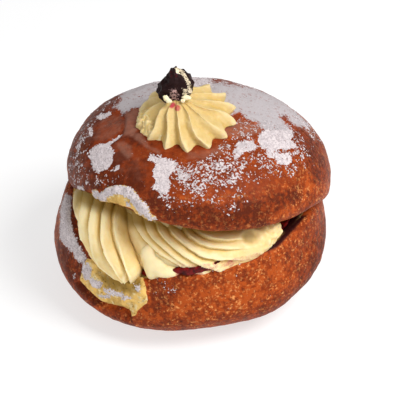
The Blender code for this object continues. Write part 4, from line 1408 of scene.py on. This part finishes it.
@dataclass
class Ridges:
    """Ridges that the star nozzle left in a rope: a thin sharp crest, a long round slope to its right, and a
    steep step up to the next crest.

    The crests are drawn lines, from the top down and from left to right."""

    crests: Sequence[Knots]
    depth: float = 2.3
    valley: float = 0.88  # share of a band at which its long slope ends
    band: float = 5.0  # width of a band beyond the first and the last crest
    bead: float = 0.14  # height of the thin bead on a crest, as a share of the depth
    bead_width: float = 0.07  # share of a band
    full_band: float = 3.8  # narrower bands are shallower
    least_band: float = 0.1
    roundness: float = 0.7  # power of the long slope
    fade: Span = (900.0, 1000.0)  # x between which the ridges fade out

    def beyond(self, drawn: np.ndarray, crest: Knots) -> np.ndarray:
        """How far drawn places lie to the right of a crest, in millimetres, less than 0 to its left."""
        line = np.array(crest)
        nearest = np.full(len(drawn), np.inf)
        signed = np.zeros(len(drawn))
        for k, (start, end) in enumerate(zip(line, line[1:])):
            step = end - start
            share = (drawn - start) @ step / (step @ step)
            lowest = -np.inf if k == 0 else 0
            highest = np.inf if k == len(line) - 2 else 1
            away = drawn - start - np.clip(share, lowest, highest)[:, None] * step
            distance = np.hypot(away[:, 0], away[:, 1])
            closer = distance < nearest
            side = step[0] * (drawn[:, 1] - start[1]) - step[1] * (drawn[:, 0] - start[0])
            signed[closer] = (distance * np.sign(side))[closer]
            nearest[closer] = distance[closer]
        return signed

    def cut(self, points: np.ndarray) -> np.ndarray:
        """How far the ridges sink the surface at points, in millimetres."""
        drawn = SIGHT.drawn(points)
        sides = np.array([self.beyond(drawn, crest) for crest in self.crests])
        sides = np.vstack([sides[0] + self.band, sides, sides[-1] - self.band])
        index = np.clip((sides >= 0).sum(0) - 1, 0, len(sides) - 2)
        left = np.take_along_axis(sides, index[None], 0)[0]
        right = np.take_along_axis(sides, index[None] + 1, 0)[0]
        width = np.maximum(left - right, self.least_band)
        place = np.clip(left / width, 0, 1)
        slope = np.cos(np.pi / 2 * np.minimum(place / self.valley, 1)) ** self.roundness
        step = np.clip((place - self.valley) / (1 - self.valley), 0, 1)
        crest = np.exp(-((np.minimum(place, 1 - place) / self.bead_width) ** 2))
        height = np.maximum(slope * (place < self.valley), step) + self.bead * crest
        fade = rise(points[:, 0], self.fade[1], self.fade[0])
        return self.depth * fade * np.minimum(width / self.full_band, 1) * (1 - height)


def hollows(obj: bpy.types.Object, reach: int) -> np.ndarray:
    """How deep each point lies in a hollow, in millimetres, less than 0 on a crest.

    Args:
        obj: what is measured.
        reach: how many points away the surface around is looked at.

    Returns:
        One depth for each point.
    """
    ends = np.empty(2 * len(obj.data.edges), np.int32)
    obj.data.edges.foreach_get("vertices", ends)
    first, second = ends.reshape(-1, 2).T
    points = points_of(obj)
    count = np.bincount(ends, minlength=len(points)).clip(1)
    mean = points
    for _ in range(reach):
        sums = [
            np.bincount(one, mean[other, axis], len(points))
            for one, other in ((first, second), (second, first)) for axis in range(3)
        ]
        mean = (np.stack(sums[:3], axis=1) + np.stack(sums[3:], axis=1)) / count[:, None]
    return ((mean - points) * normals_of(obj)).sum(1)


def mark_relief_highlight_and_shade(obj: bpy.types.Object, reach: int, full: float,
                pale: float | np.ndarray = 0.0) -> None:
    """Marks where a piece's surface is a crest and where it is a valley, for a painted highlight on the
    crests and painted shade in the valleys.

    Args:
        obj: the piece.
        reach: how many points away the surface around is looked at.
        full: height or depth in millimetres at which a mark is strongest.
        pale: what else gets the painted crest highlight.
    """
    depth = hollows(obj, reach)
    # Painted shade in the valleys, painted highlight on the crests.
    mark(obj, "valley", rise(depth, VALLEY_SHADE_FROM * full, full))
    mark(obj, "crest", np.maximum(rise(-depth, CREST_HIGHLIGHT_FROM * full, full), pale))


def pressed(obj: bpy.types.Object, against: bpy.types.Object, depth: float) -> None:
    """Keeps a soft piece from going deep into a firm one.

    Args:
        obj: the soft piece.
        against: the firm one.
        depth: how far in it may reach, in millimetres.
    """
    tree = BVHTree.FromObject(against, bpy.context.evaluated_depsgraph_get())
    points = points_of(obj)
    for i, point in enumerate(points):
        place, normal, _, away = tree.find_nearest(Vector(point * MM))
        inside = (Vector(point * MM) - place).dot(normal) < 0
        if inside and away > depth * MM:
            points[i] = np.array(place - normal * depth * MM) / MM
    set_points(obj, points)


@dataclass
class Filling:
    """Cream in the mouth: two ropes, the smear between them and the core that runs back through the bun."""

    left: Rope = field(default_factory=lambda: Rope(
        "left_rope",
        [(-24, 4, 46.5), (-31.3, -7.8, 44.3), (-32.2, -19.3, 43), (-27.6, -30.6, 34.4),
         (-20.9, -37.6, 30.0)],
        [11.0, 11.2, 11.8, 9.1, 6.7],
    ))
    right: Rope = field(default_factory=lambda: Rope(
        "right_rope",
        [(-18, -10, 48), (-16, -21, 43.5), (-10.5, -30, 38), (2.5, -36.4, 37.6), (15, -35, 39.5),
         (23, -33, 41.3), (29.5, -30, 44)],
        [9.5, 10.0, 10.0, 9.5, 7.8, 5.8, 3.6],
        rings=180,
        sides=190,
    ))
    left_ridges: Ridges = field(default_factory=lambda: Ridges([
        [(-44.3, 3.8), (-44.9, 0.5), (-46.3, -4.9), (-46.6, -9), (-46.1, -13.5), (-45.3, -17.1),
         (-43.4, -19.6), (-41.4, -22.2)],
        [(-39.9, 3.1), (-40.7, -0.3), (-42.3, -4.9), (-42.9, -10.1), (-42.7, -15.1), (-41.9, -18.9),
         (-40.7, -22.3), (-38.5, -25.6), (-35.1, -28.7), (-31.4, -31.4)],
        [(-35.1, 2.3), (-36.2, -1.4), (-37.7, -4.9), (-38.3, -10.5), (-38.2, -15.1), (-37, -20.4),
         (-34.7, -24.5), (-32.5, -28), (-30.1, -30.6), (-28.3, -33)],
        [(-30.7, 1.6), (-31.7, -2), (-32.6, -5.3), (-33, -11.3), (-32.3, -15.1), (-30.9, -18.9),
         (-29.5, -24.5), (-28, -28.4), (-26.6, -32.1)],
    ], band=8.5))
    right_ridges: Ridges = field(default_factory=lambda: Ridges([
        [(-26.4, -2), (-26.1, -4.9), (-25.3, -9), (-23.7, -12), (-21.5, -15.1), (-18.1, -18.6),
         (-15.4, -21.1), (-12.4, -22.8), (-9, -24.8), (-4.6, -26.8)],
        [(-21.8, -4.6), (-21.5, -7.5), (-20.2, -12), (-18.1, -15), (-14.6, -18.4), (-10.9, -21.9),
         (-7.1, -24.5), (-2.3, -27.2)],
        [(-16.9, -5.4), (-16.6, -8.3), (-15.8, -12), (-13.6, -15), (-10.5, -18.1), (-6.7, -21.1),
         (-3.3, -23.8), (0.4, -25.5), (6.1, -27.2)],
        [(-12.3, -5.7), (-12, -8.6), (-10.9, -12), (-8.2, -15), (-4.4, -18.4), (0, -21.5), (6.1, -23.2),
         (13.8, -22.9)],
        [(-7.7, -6.1), (-6.9, -9.2), (-4.2, -13.3), (-0.2, -16.5), (4.3, -18), (10.7, -18.8),
         (16.1, -18.6)],
        [(-3.8, -6.9), (-3.3, -9.8), (0.8, -12.9), (5.3, -14.7), (10.7, -15.3), (16.1, -14.9)],
    ], depth=1.8, fade=(9.0, 22.0)))
    smear: Sequence[tuple[Point, Point]] = (
        ((-12.4, -39.8, 33.9), (5.4, 3.2, 4.2)), ((-8.4, -43.0, 33.8), (5.6, 2.6, 2.5)),
        ((-15.6, -37.8, 37.4), (3.2, 2.6, 4.6)), ((-13.8, -41.4, 32.0), (3.0, 2.4, 3.2)),
    )
    smear_voxel: float = 0.5
    smear_smoothing: int = 30
    dimple: Spot = Spot((21.8, -39.5, 46.5), 3.2, 1.3)
    # Painted shadow of the lid on the top of the cream.
    under_lid: Patch = Patch((
        (-49, 5.4), (-38.3, 4.2), (-30.7, 1.9), (-23, -2.7), (-15.3, -6.1), (0, -9.2), (19.2, -10),
        (23, -10), (15.3, -11.9), (5.7, -12.6), (-1.9, -13.8), (-7.7, -13), (-15.3, -11.5),
        (-21.1, -10.7), (-26.8, -10.3), (-31.4, -6.5), (-36.4, -5), (-42.1, -3.1), (-46, -1.9),
        (-48.3, -4.6),
    ), 0.95, 2.2)
    # Painted highlight: the smear's bright face is painted pale like a crest.
    smooth: Patch = Patch((
        (-23.8, -15.3), (-21.5, -23.8), (-19.2, -30.7), (-13, -27.6), (-6.1, -25.7), (-13.4, -21.8),
        (-19.2, -18.4),
    ), 1.0, 1.2)
    jammy: Patch = Patch((
        (-10, -23.4), (-3.8, -24.5), (1.5, -24.1), (6.9, -23.4), (14.6, -21.5), (24.5, -19.2),
        (24.5, -22.2), (15.3, -24.5), (5.7, -27.2), (-1.9, -27.6), (-9.2, -26.1),
    ), 0.52, 0.8)
    # Painted shade in the dimple on the cream's right.
    dip: Patch = Patch((
        (17.2, -11.5), (19.9, -11.5), (21.1, -14.2), (19.9, -16.5), (17.2, -16.1), (16.1, -13.8),
    ), 0.55)
    core_reach: Knots = ((-180, 34), (-60, 34), (30, 34), (50, 30), (80, 29), (115, 33))
    core_heights: Span = (28.0, 52.0)
    core_centre: Span = (-0.8, 0.0)
    core_profile: Knots = ((0.3, 0), (0.7, 0), (0.98, 0), (1, 0.1), (1, 0.5), (1, 0.9), (0.98, 1), (0.7, 1),
                           (0.3, 1))  # shares of the reach and of the height
    core_sides: int = 96
    wander_size: float = 4.0
    wander: float = 0.22  # by which the ridges stray from their drawn lines
    wander_seeds: Point = (11.0, 12.0, 13.0)
    swells: Swells = ((2.2, 0.12, 1.0), (0.8, 0.05, 2.0))
    ragged: Swells = ((1.7, 0.7, 3.0),)
    ragged_from: Span = (21.0, 31.0)  # x between which the right end becomes ragged
    sink: float = 0.6
    relief_reach: int = 16
    relief_full: float = 0.30
    stain_spots: Sequence[Spot] = (
        Spot((-4, -44.5, 34), 2.2, 0.75), Spot((3, -45.5, 34), 2.4, 0.6), Spot((9, -44.5, 36), 2.0, 0.8),
        Spot((14, -43, 37.5), 2.0, 0.7), Spot((19, -41.5, 39), 1.6, 0.6),
    )
    finish: CreamFinish = CreamFinish()

    def core(self) -> bpy.types.Object:
        """Plain drum of cream behind the ropes."""
        azimuth = np.linspace(-180, 180, self.core_sides, endpoint=False)
        reach = turned(azimuth, self.core_reach)
        low, high = self.core_heights
        rings = []
        for share, height in self.core_profile:
            rings.append(np.stack([
                self.core_centre[0] + reach * share * np.sin(np.radians(azimuth)),
                self.core_centre[1] - reach * share * np.cos(np.radians(azimuth)),
                np.full_like(azimuth, low + (high - low) * height),
            ], axis=1))
        return lathe("core", rings)

    def piped(self, rope: Rope, ridges: Ridges) -> bpy.types.Object:
        """Rope with its ridges, and with the cream's faint unevenness.

        Args:
            rope: the plain rope.
            ridges: what the nozzle cuts into it.

        Returns:
            The rope, with its ridges cut in.
        """
        obj = rope.build()
        points = points_of(obj)
        wander = [self.wander * grain(points, self.wander_size, seed) for seed in self.wander_seeds]
        lift = -ridges.cut(points + np.stack(wander, axis=1)) + swell(points, self.swells)
        lift += swell(points, self.ragged) * rise(points[:, 0], *self.ragged_from)
        return swollen(obj, lift - self.dimple.cover(points))

    def build(self, bun: bpy.types.Object) -> bpy.types.Object:
        """Makes the filling.

        Args:
            bun: what it is pressed against.

        Returns:
            The filling.
        """
        smear = joined([ellipsoid("smear", centre, radii) for centre, radii in self.smear])
        fused(smear, self.smear_voxel, self.smear_smoothing)
        left, right = self.piped(self.left, self.left_ridges), self.piped(self.right, self.right_ridges)
        obj = joined([left, right, smear, self.core()])
        obj.name = "mouth_cream"
        pressed(obj, bun, self.sink)
        drawn = SIGHT.drawn(points_of(obj))
        mark_relief_highlight_and_shade(obj, self.relief_reach, self.relief_full, self.smooth.cover(drawn))
        # Painted shadow under the lid and painted shade in the dimple.
        mark(obj, "shade", np.maximum(self.under_lid.cover(drawn), self.dip.cover(drawn)))
        mark(obj, "stain", np.maximum(covered(points_of(obj), self.stain_spots), self.jammy.cover(drawn)))
        self.finish.dress(obj)
        return served(obj, Slot.CREAM, Solid.FILLING)


@dataclass
class JamLayer:
    """Jam between the lower cut face and the cream."""

    voxel: float = 0.5
    smoothing: int = 4
    swells: Swells = ((3.0, 0.35, 1.0), (1.2, 0.2, 2.0))
    finish: JamFinish = JamFinish()

    def build(self) -> bpy.types.Object:
        """Makes the jam from its solid, with a lumpy surface.

        Returns:
            The jam.
        """
        obj = fused(copy_of(Solid.JAM, "jam_layer"), self.voxel, self.smoothing)
        swollen(obj, swell(points_of(obj), self.swells))
        self.finish.dress(obj)
        return served(obj, Slot.JAM, Solid.JAM)


@dataclass
class Rosette:
    """Rosette piped on the lid, whose ridges lean over to an apex left of its middle."""

    centre: Point = (-1.8, -4.2, 73.5)
    radii: Span = (18.0, 20.5)
    height: float = 10.5
    lean: Point = (5, -2, 0)
    apex_shift: Span = (-3.0, -1.5)
    twist: float = 20.0
    sway: float = 6.0  # degrees by which a ridge swings to and fro on its way up
    sway_half_turns: float = 2.2
    sway_round: Span = (3, 40)  # waves round the rosette, and the azimuth at which they start
    teeth: int = 14
    depth: float = 0.175
    bead: float = 0.10  # on a tip, as a share of the depth
    bead_width: float = 0.16
    bead_climb: float = 3.0  # how fast the beads set in above the foot
    valley_powers: Span = (1.5, 0.7)  # at the foot, and from halfway up
    samples: int = 24
    profile: Knots = ((0.80, -0.34), (0.90, -0.2), (0.97, 0), (1, 0.08), (0.93, 0.25), (0.81, 0.42),
                      (0.66, 0.6), (0.49, 0.77), (0.31, 0.91), (0.14, 0.985), (0.04, 1.0))
    rings: int = 130
    skirt_span: Span = (-102, -38)
    skirt_reach: float = 14.6
    skirt_radii: Sequence[float] = (2.4, 3.5, 4.1, 3.7, 3.0, 2.2)
    skirt_rings: tuple[int, int, int] = (80, 90, 10)  # rings, points in each, rings of an end
    skirt_swells: Swells = ((2.6, 0.8, 6.0), (1.1, 0.5, 7.0))
    swells: Swells = ((2.4, 0.22, 3.0), (0.9, 0.10, 4.0))
    sink: float = 0.6
    relief_reach: int = 45
    relief_full: float = 0.55
    stain_spots: Sequence[Spot] = (Spot((-6.5, -11.0, 83.5), 2.0, 0.85), Spot((-4.6, -12.2, 82.6), 1.6, 0.75))
    # Darker copy of the cream: painted shade, as the rosette on top catches more light than the filling.
    finish: CreamFinish = CreamFinish(
        name="rosette_cream_shaded",
        body=(0.64, 0.45, 0.165, 1),
        pale=(0.77, 0.61, 0.32, 1),
        deep=(0.56, 0.36, 0.085, 1),
    )

    def star(self, azimuth: np.ndarray, climb: float) -> np.ndarray:
        """Share of the full radius at azimuths: sharp tips with a thin bead, and round valleys."""
        waves, first = self.sway_round
        swing = self.sway * math.sin(self.sway_half_turns * math.pi * climb)
        swing = swing * np.sin(np.radians(waves * azimuth + first))
        phase = np.radians(azimuth + self.twist * climb + swing) * self.teeth / 2
        valley = np.abs(np.sin(phase))
        bead = self.bead * np.exp(-((valley / self.bead_width) ** 2)) * min(1.0, self.bead_climb * climb)
        foot, top = self.valley_powers
        power = foot + (top - foot) * min(1.0, 2 * climb)
        return 1 - self.depth * (1 + climb) * (valley**power - bead)

    def placed(self, points: np.ndarray) -> np.ndarray:
        """Points measured from the middle of the rosette's foot, put on the slope of the lid."""
        lean = np.array(Euler([math.radians(a) for a in self.lean]).to_matrix())
        return points @ lean.T + np.array(self.centre)

    def mound(self) -> bpy.types.Object:
        """Ridged mound."""
        count = self.teeth * self.samples
        azimuth = np.arange(count) * 360 / count
        turn = np.radians(azimuth)
        rings = []
        for radius, height in along(self.profile, np.linspace(0, 1, self.rings)):
            climb = 1 - radius if height > 0 else 0.0
            out = radius * self.star(azimuth, climb)
            rings.append(self.placed(np.stack([
                self.radii[0] * out * np.sin(turn) + self.apex_shift[0] * climb,
                -self.radii[1] * out * np.cos(turn) + self.apex_shift[1] * climb,
                np.full(count, height * self.height),
            ], axis=1)))
        return lathe("mound", rings)

    def skirt(self) -> bpy.types.Object:
        """First, lower turn, which shows at the left."""
        turn = np.radians(np.linspace(*self.skirt_span, len(self.skirt_radii)))
        path = self.skirt_reach * np.stack([np.sin(turn), -np.cos(turn), 0 * turn], axis=1)
        obj = Rope("skirt", self.placed(path).tolist(), self.skirt_radii, *self.skirt_rings).build()
        return swollen(obj, swell(points_of(obj), self.skirt_swells))

    def build(self, bun: bpy.types.Object) -> bpy.types.Object:
        """Makes the rosette.

        Args:
            bun: what it sits on.

        Returns:
            The rosette.
        """
        obj = joined([self.mound(), self.skirt()])
        obj.name = "rosette_swirl"
        swollen(obj, swell(points_of(obj), self.swells))
        pressed(obj, bun, self.sink)
        mark_relief_highlight_and_shade(obj, self.relief_reach, self.relief_full)
        mark(obj, "stain", covered(points_of(obj), self.stain_spots))
        self.finish.dress(obj)
        return served(obj, Slot.CREAM, Solid.ROSETTE)


@dataclass
class FruitPiece:
    """Rough chunk of dark fruit with cream dabs on it."""

    voxel: float = 0.3
    smoothing: int = 2
    shrink: float = 0.5
    scale: Point = (0.82, 0.85, 1.0)
    crag_top: float = 0.9
    crags: Swells = ((2.8, 1.8, 1.0),)  # folded up, so that they end in sharp edges
    swells: Swells = ((1.2, 0.3, 2.0),)
    smeared: Sequence[Patch] = (
        Patch((
            (-7.7, 51.5), (-5.7, 49), (-3.4, 45), (-2.7, 41), (-4.6, 40.5), (-5.4, 45), (-7.7, 48.5),
            (-10, 50.6),
        ), 0.75, 0.5),
        Patch(((-7.3, 43), (-3.4, 42.5), (-2.3, 38.5), (-6.5, 38)), 0.6, 0.6),
    )
    pulpy: Sequence[Patch] = (
        Patch(((-12, 42.5), (-8.5, 43), (-7.5, 38.5), (-9, 36.5), (-12.5, 38)), 0.7, 1.3),
        Patch(((-12, 40), (-6, 39), (-6, 36), (-12, 36)), 0.5, 0.6),
    )
    dabs: Sequence[tuple[Point, Point]] = (
        ((-6.0, -5.4, 94.0), (1.3, 1.2, 0.9)), ((-7.2, -5.0, 93.6), (0.9, 0.9, 0.7)),
        ((-4.6, -5.8, 92.8), (0.8, 0.7, 0.6)), ((-2.2, -9.2, 85.4), (1.6, 0.8, 0.9)),
        ((-3.4, -9.8, 84.6), (0.9, 0.7, 0.7)), ((-9.3, -9.8, 85.6), (0.9, 0.7, 1.2)),
        ((-8.2, -10.2, 84.4), (1.1, 0.8, 0.8)),
    )
    dab_steps: int = 16
    dab_swells: Swells = ((1.3, 0.4, 1.0), (0.6, 0.25, 2.0))
    finish: FruitFinish = FruitFinish()
    cream: CreamFinish = CreamFinish(name="cream_on_fruit", body=(0.92, 0.82, 0.55, 1))

    def build(self) -> bpy.types.Object:
        """Makes the fruit from its solid.

        Returns:
            The fruit.
        """
        obj = fused(copy_of(Solid.FRUIT, "fruit_chunk"), self.voxel, self.smoothing)
        points = points_of(obj)
        points = points.mean(0) + (points - points.mean(0)) * np.array(self.scale)
        lift = self.crag_top - np.abs(swell(points, self.crags)) + swell(points, self.swells) - self.shrink
        points = points + normals_of(obj) * lift[:, None]
        set_points(obj, points)
        drawn = SIGHT.drawn(points)
        mark(obj, "cream", greatest(self.smeared, drawn))
        mark(obj, "pulp", greatest(self.pulpy, drawn))
        self.finish.dress(obj)
        return served(obj, Slot.FRUIT, Solid.FRUIT)

    def build_dabs(self) -> bpy.types.Object:
        """Makes the dabs of cream that stick to the fruit.

        Returns:
            The dabs.
        """
        obj = joined([ellipsoid("dab", centre, radii, self.dab_steps) for centre, radii in self.dabs])
        obj.name = "cream_dabs"
        swollen(obj, swell(points_of(obj), self.dab_swells))
        mark(obj, "stain", np.zeros(len(obj.data.vertices)))
        self.cream.dress(obj)
        return served(obj, Slot.CREAM)


@dataclass
class LooseSugar:
    """Small lumps of sugar that lie where the bun's powder is thick."""

    count: int = 5000
    sizes: Span = (0.30, 0.80)
    threshold: float = 0.55
    least_powder: float = 0.05
    clumps: Swells = ((3.2, 0.9, 21.0), (1.2, 0.7, 22.0))
    roughness: Span = (0.65, 1.25)  # radii of a lump's corners
    breadths: Span = (0.6, 1.0)
    thicknesses: Span = (0.3, 0.6)
    stray: float = 0.4  # by which a lump lies off its point
    lift: float = 0.1  # of its size, above the surface
    finish: PowderFinish = PowderFinish()
    seed: int = 7

    def lump(self, rng: np.random.Generator) -> tuple[np.ndarray, list[tuple[int, ...]]]:
        """Points and faces of one rough lump about the origin, 2 across."""
        golden = (1 + 5**0.5) / 2
        points = np.array([
            (-1, golden, 0), (1, golden, 0), (-1, -golden, 0), (1, -golden, 0),
            (0, -1, golden), (0, 1, golden), (0, -1, -golden), (0, 1, -golden),
            (golden, 0, -1), (golden, 0, 1), (-golden, 0, -1), (-golden, 0, 1),
        ]) / math.hypot(1, golden)
        faces = [
            (0, 11, 5), (0, 5, 1), (0, 1, 7), (0, 7, 10), (0, 10, 11), (1, 5, 9), (5, 11, 4), (11, 10, 2),
            (10, 7, 6), (7, 1, 8), (3, 9, 4), (3, 4, 2), (3, 2, 6), (3, 6, 8), (3, 8, 9), (4, 9, 5),
            (2, 4, 11), (6, 2, 10), (8, 6, 7), (9, 8, 1),
        ]
        return points * rng.uniform(*self.roughness, (len(points), 1)), faces

    def build(self, bun: bpy.types.Object) -> bpy.types.Object:
        """Scatters the lumps.

        Args:
            bun: what they lie on.

        Returns:
            All the lumps as one piece.
        """
        rng = np.random.default_rng(self.seed)
        points, normals = points_of(bun), normals_of(bun)
        amount = np.empty(len(points), np.float32)
        bun.data.attributes["sugar"].data.foreach_get("value", amount)
        chance = np.clip(amount + swell(points, self.clumps) - self.threshold, 0, None)
        chance *= amount > self.least_powder
        chosen = rng.choice(len(points), self.count, p=chance / chance.sum())
        all_points, all_faces = [], []
        for i in chosen:
            lump, faces = self.lump(rng)
            basis = np.array(Vector(normals[i]).to_track_quat("Z", "X").to_matrix())
            size = rng.uniform(*self.sizes) / 2
            flat = np.array((1.0, rng.uniform(*self.breadths), rng.uniform(*self.thicknesses)))
            spin = np.array(Euler((0, 0, rng.uniform(0, 2 * math.pi))).to_matrix())
            shaped = (lump * flat * size) @ spin.T @ basis.T
            wander = basis @ np.array((*rng.uniform(-self.stray, self.stray, 2), self.lift * size))
            start = len(all_points) * len(lump)
            all_points.append(shaped + points[i] + wander)
            all_faces += [tuple(start + v for v in f) for f in faces]
        obj = new_object("sugar_dust", np.vstack(all_points), all_faces)
        self.finish.dress(obj)
        return served(obj, Slot.CRUST)


@dataclass(frozen=True)
class Lamp:
    """Square soft light: its place and size in metres, and its power in watts."""

    name: str
    place: Point
    size: float
    watts: float


@dataclass
class Studio:
    """Pale floor, soft lights and the camera at the photograph's angle."""

    frame_width: float = 153.3  # millimetres that the frame shows at the middle's distance
    sensor_width: float = 36.0
    nearest: float = 0.01
    lamps: Sequence[Lamp] = (
        Lamp("key", (0.38, -0.24, 0.62), 0.34, 5.2), Lamp("fill", (-0.40, -0.55, 0.38), 0.50, 1.1),
    )
    aim: Point = (0, 0, 0.045)
    white: Colour = (1, 1, 1, 1)
    world_strength: float = 0.36
    floor_half: float = 1500.0
    floor_clouds: Cloud = Cloud(40, 2, 0.5, 1.0)
    floor_tints: tuple[Colour, Colour] = ((0.41, 0.41, 0.41, 1), (0.43, 0.43, 0.43, 1))
    floor_roughness: float = 0.9
    floor_gloss: float = 0.1
    floor_glow: float = 0.64

    def build(self) -> None:
        """Sets up the floor, lights, world and camera."""
        self.floor()
        for lamp in self.lamps:
            self.light(lamp)
        world = bpy.data.worlds.new("white_room")
        bpy.context.scene.world = world
        world.use_nodes = True
        world.node_tree.nodes["Background"].inputs["Color"].default_value = self.white
        world.node_tree.nodes["Background"].inputs["Strength"].default_value = self.world_strength
        bpy.context.scene.view_settings.view_transform = "Standard"
        self.camera()

    def floor(self) -> None:
        """Plain pale floor."""
        half = self.floor_half
        corners = [(-half, -half, 0), (half, -half, 0), (half, half, 0), (-half, half, 0)]
        obj = new_object("pale_floor", corners, [(0, 1, 2, 3)])
        sheet = Sheet("pale_floor")
        sheet.finished(
            obj,
            Base_Color=sheet.mix(sheet.noise(self.floor_clouds), *self.floor_tints),
            Roughness=self.floor_roughness,
            Specular_IOR_Level=self.floor_gloss,
            Emission_Color=self.white,
            Emission_Strength=self.floor_glow,
        )

    def light(self, lamp: Lamp) -> None:
        """Puts up a lamp that faces the doughnut."""
        glow = bpy.data.lights.new(lamp.name, "AREA")
        glow.energy = lamp.watts
        glow.size = lamp.size
        obj = bpy.data.objects.new(lamp.name, glow)
        bpy.context.scene.collection.objects.link(obj)
        obj.location = lamp.place
        obj.rotation_mode = "QUATERNION"
        obj.rotation_quaternion = (Vector(self.aim) - Vector(lamp.place)).to_track_quat("-Z", "Y")

    def camera(self) -> None:
        """Camera at the eye of the drawn view."""
        lens = bpy.data.cameras.new("portrait")
        lens.sensor_width = self.sensor_width
        lens.lens = lens.sensor_width * SIGHT.distance / self.frame_width
        lens.clip_start = self.nearest
        obj = bpy.data.objects.new("portrait", lens)
        bpy.context.scene.collection.objects.link(obj)
        obj.location = SIGHT.eye() * MM
        obj.rotation_mode = "QUATERNION"
        obj.rotation_quaternion = Vector(SIGHT.axes()[1]).to_track_quat("-Z", "Y")
        bpy.context.scene.camera = obj


def main() -> None:
    """Dresses the doughnut and sets it in the studio."""
    logging.basicConfig(level=logging.INFO, format="%(name)s %(message)s")
    Studio().build()
    bun = Bun().build()
    JamLayer().build()
    Filling().build(bun)
    Rosette().build(bun)
    fruit = FruitPiece()
    fruit.build()
    fruit.build_dabs()
    LooseSugar().build(bun)


if __name__ == "__main__":
    main()
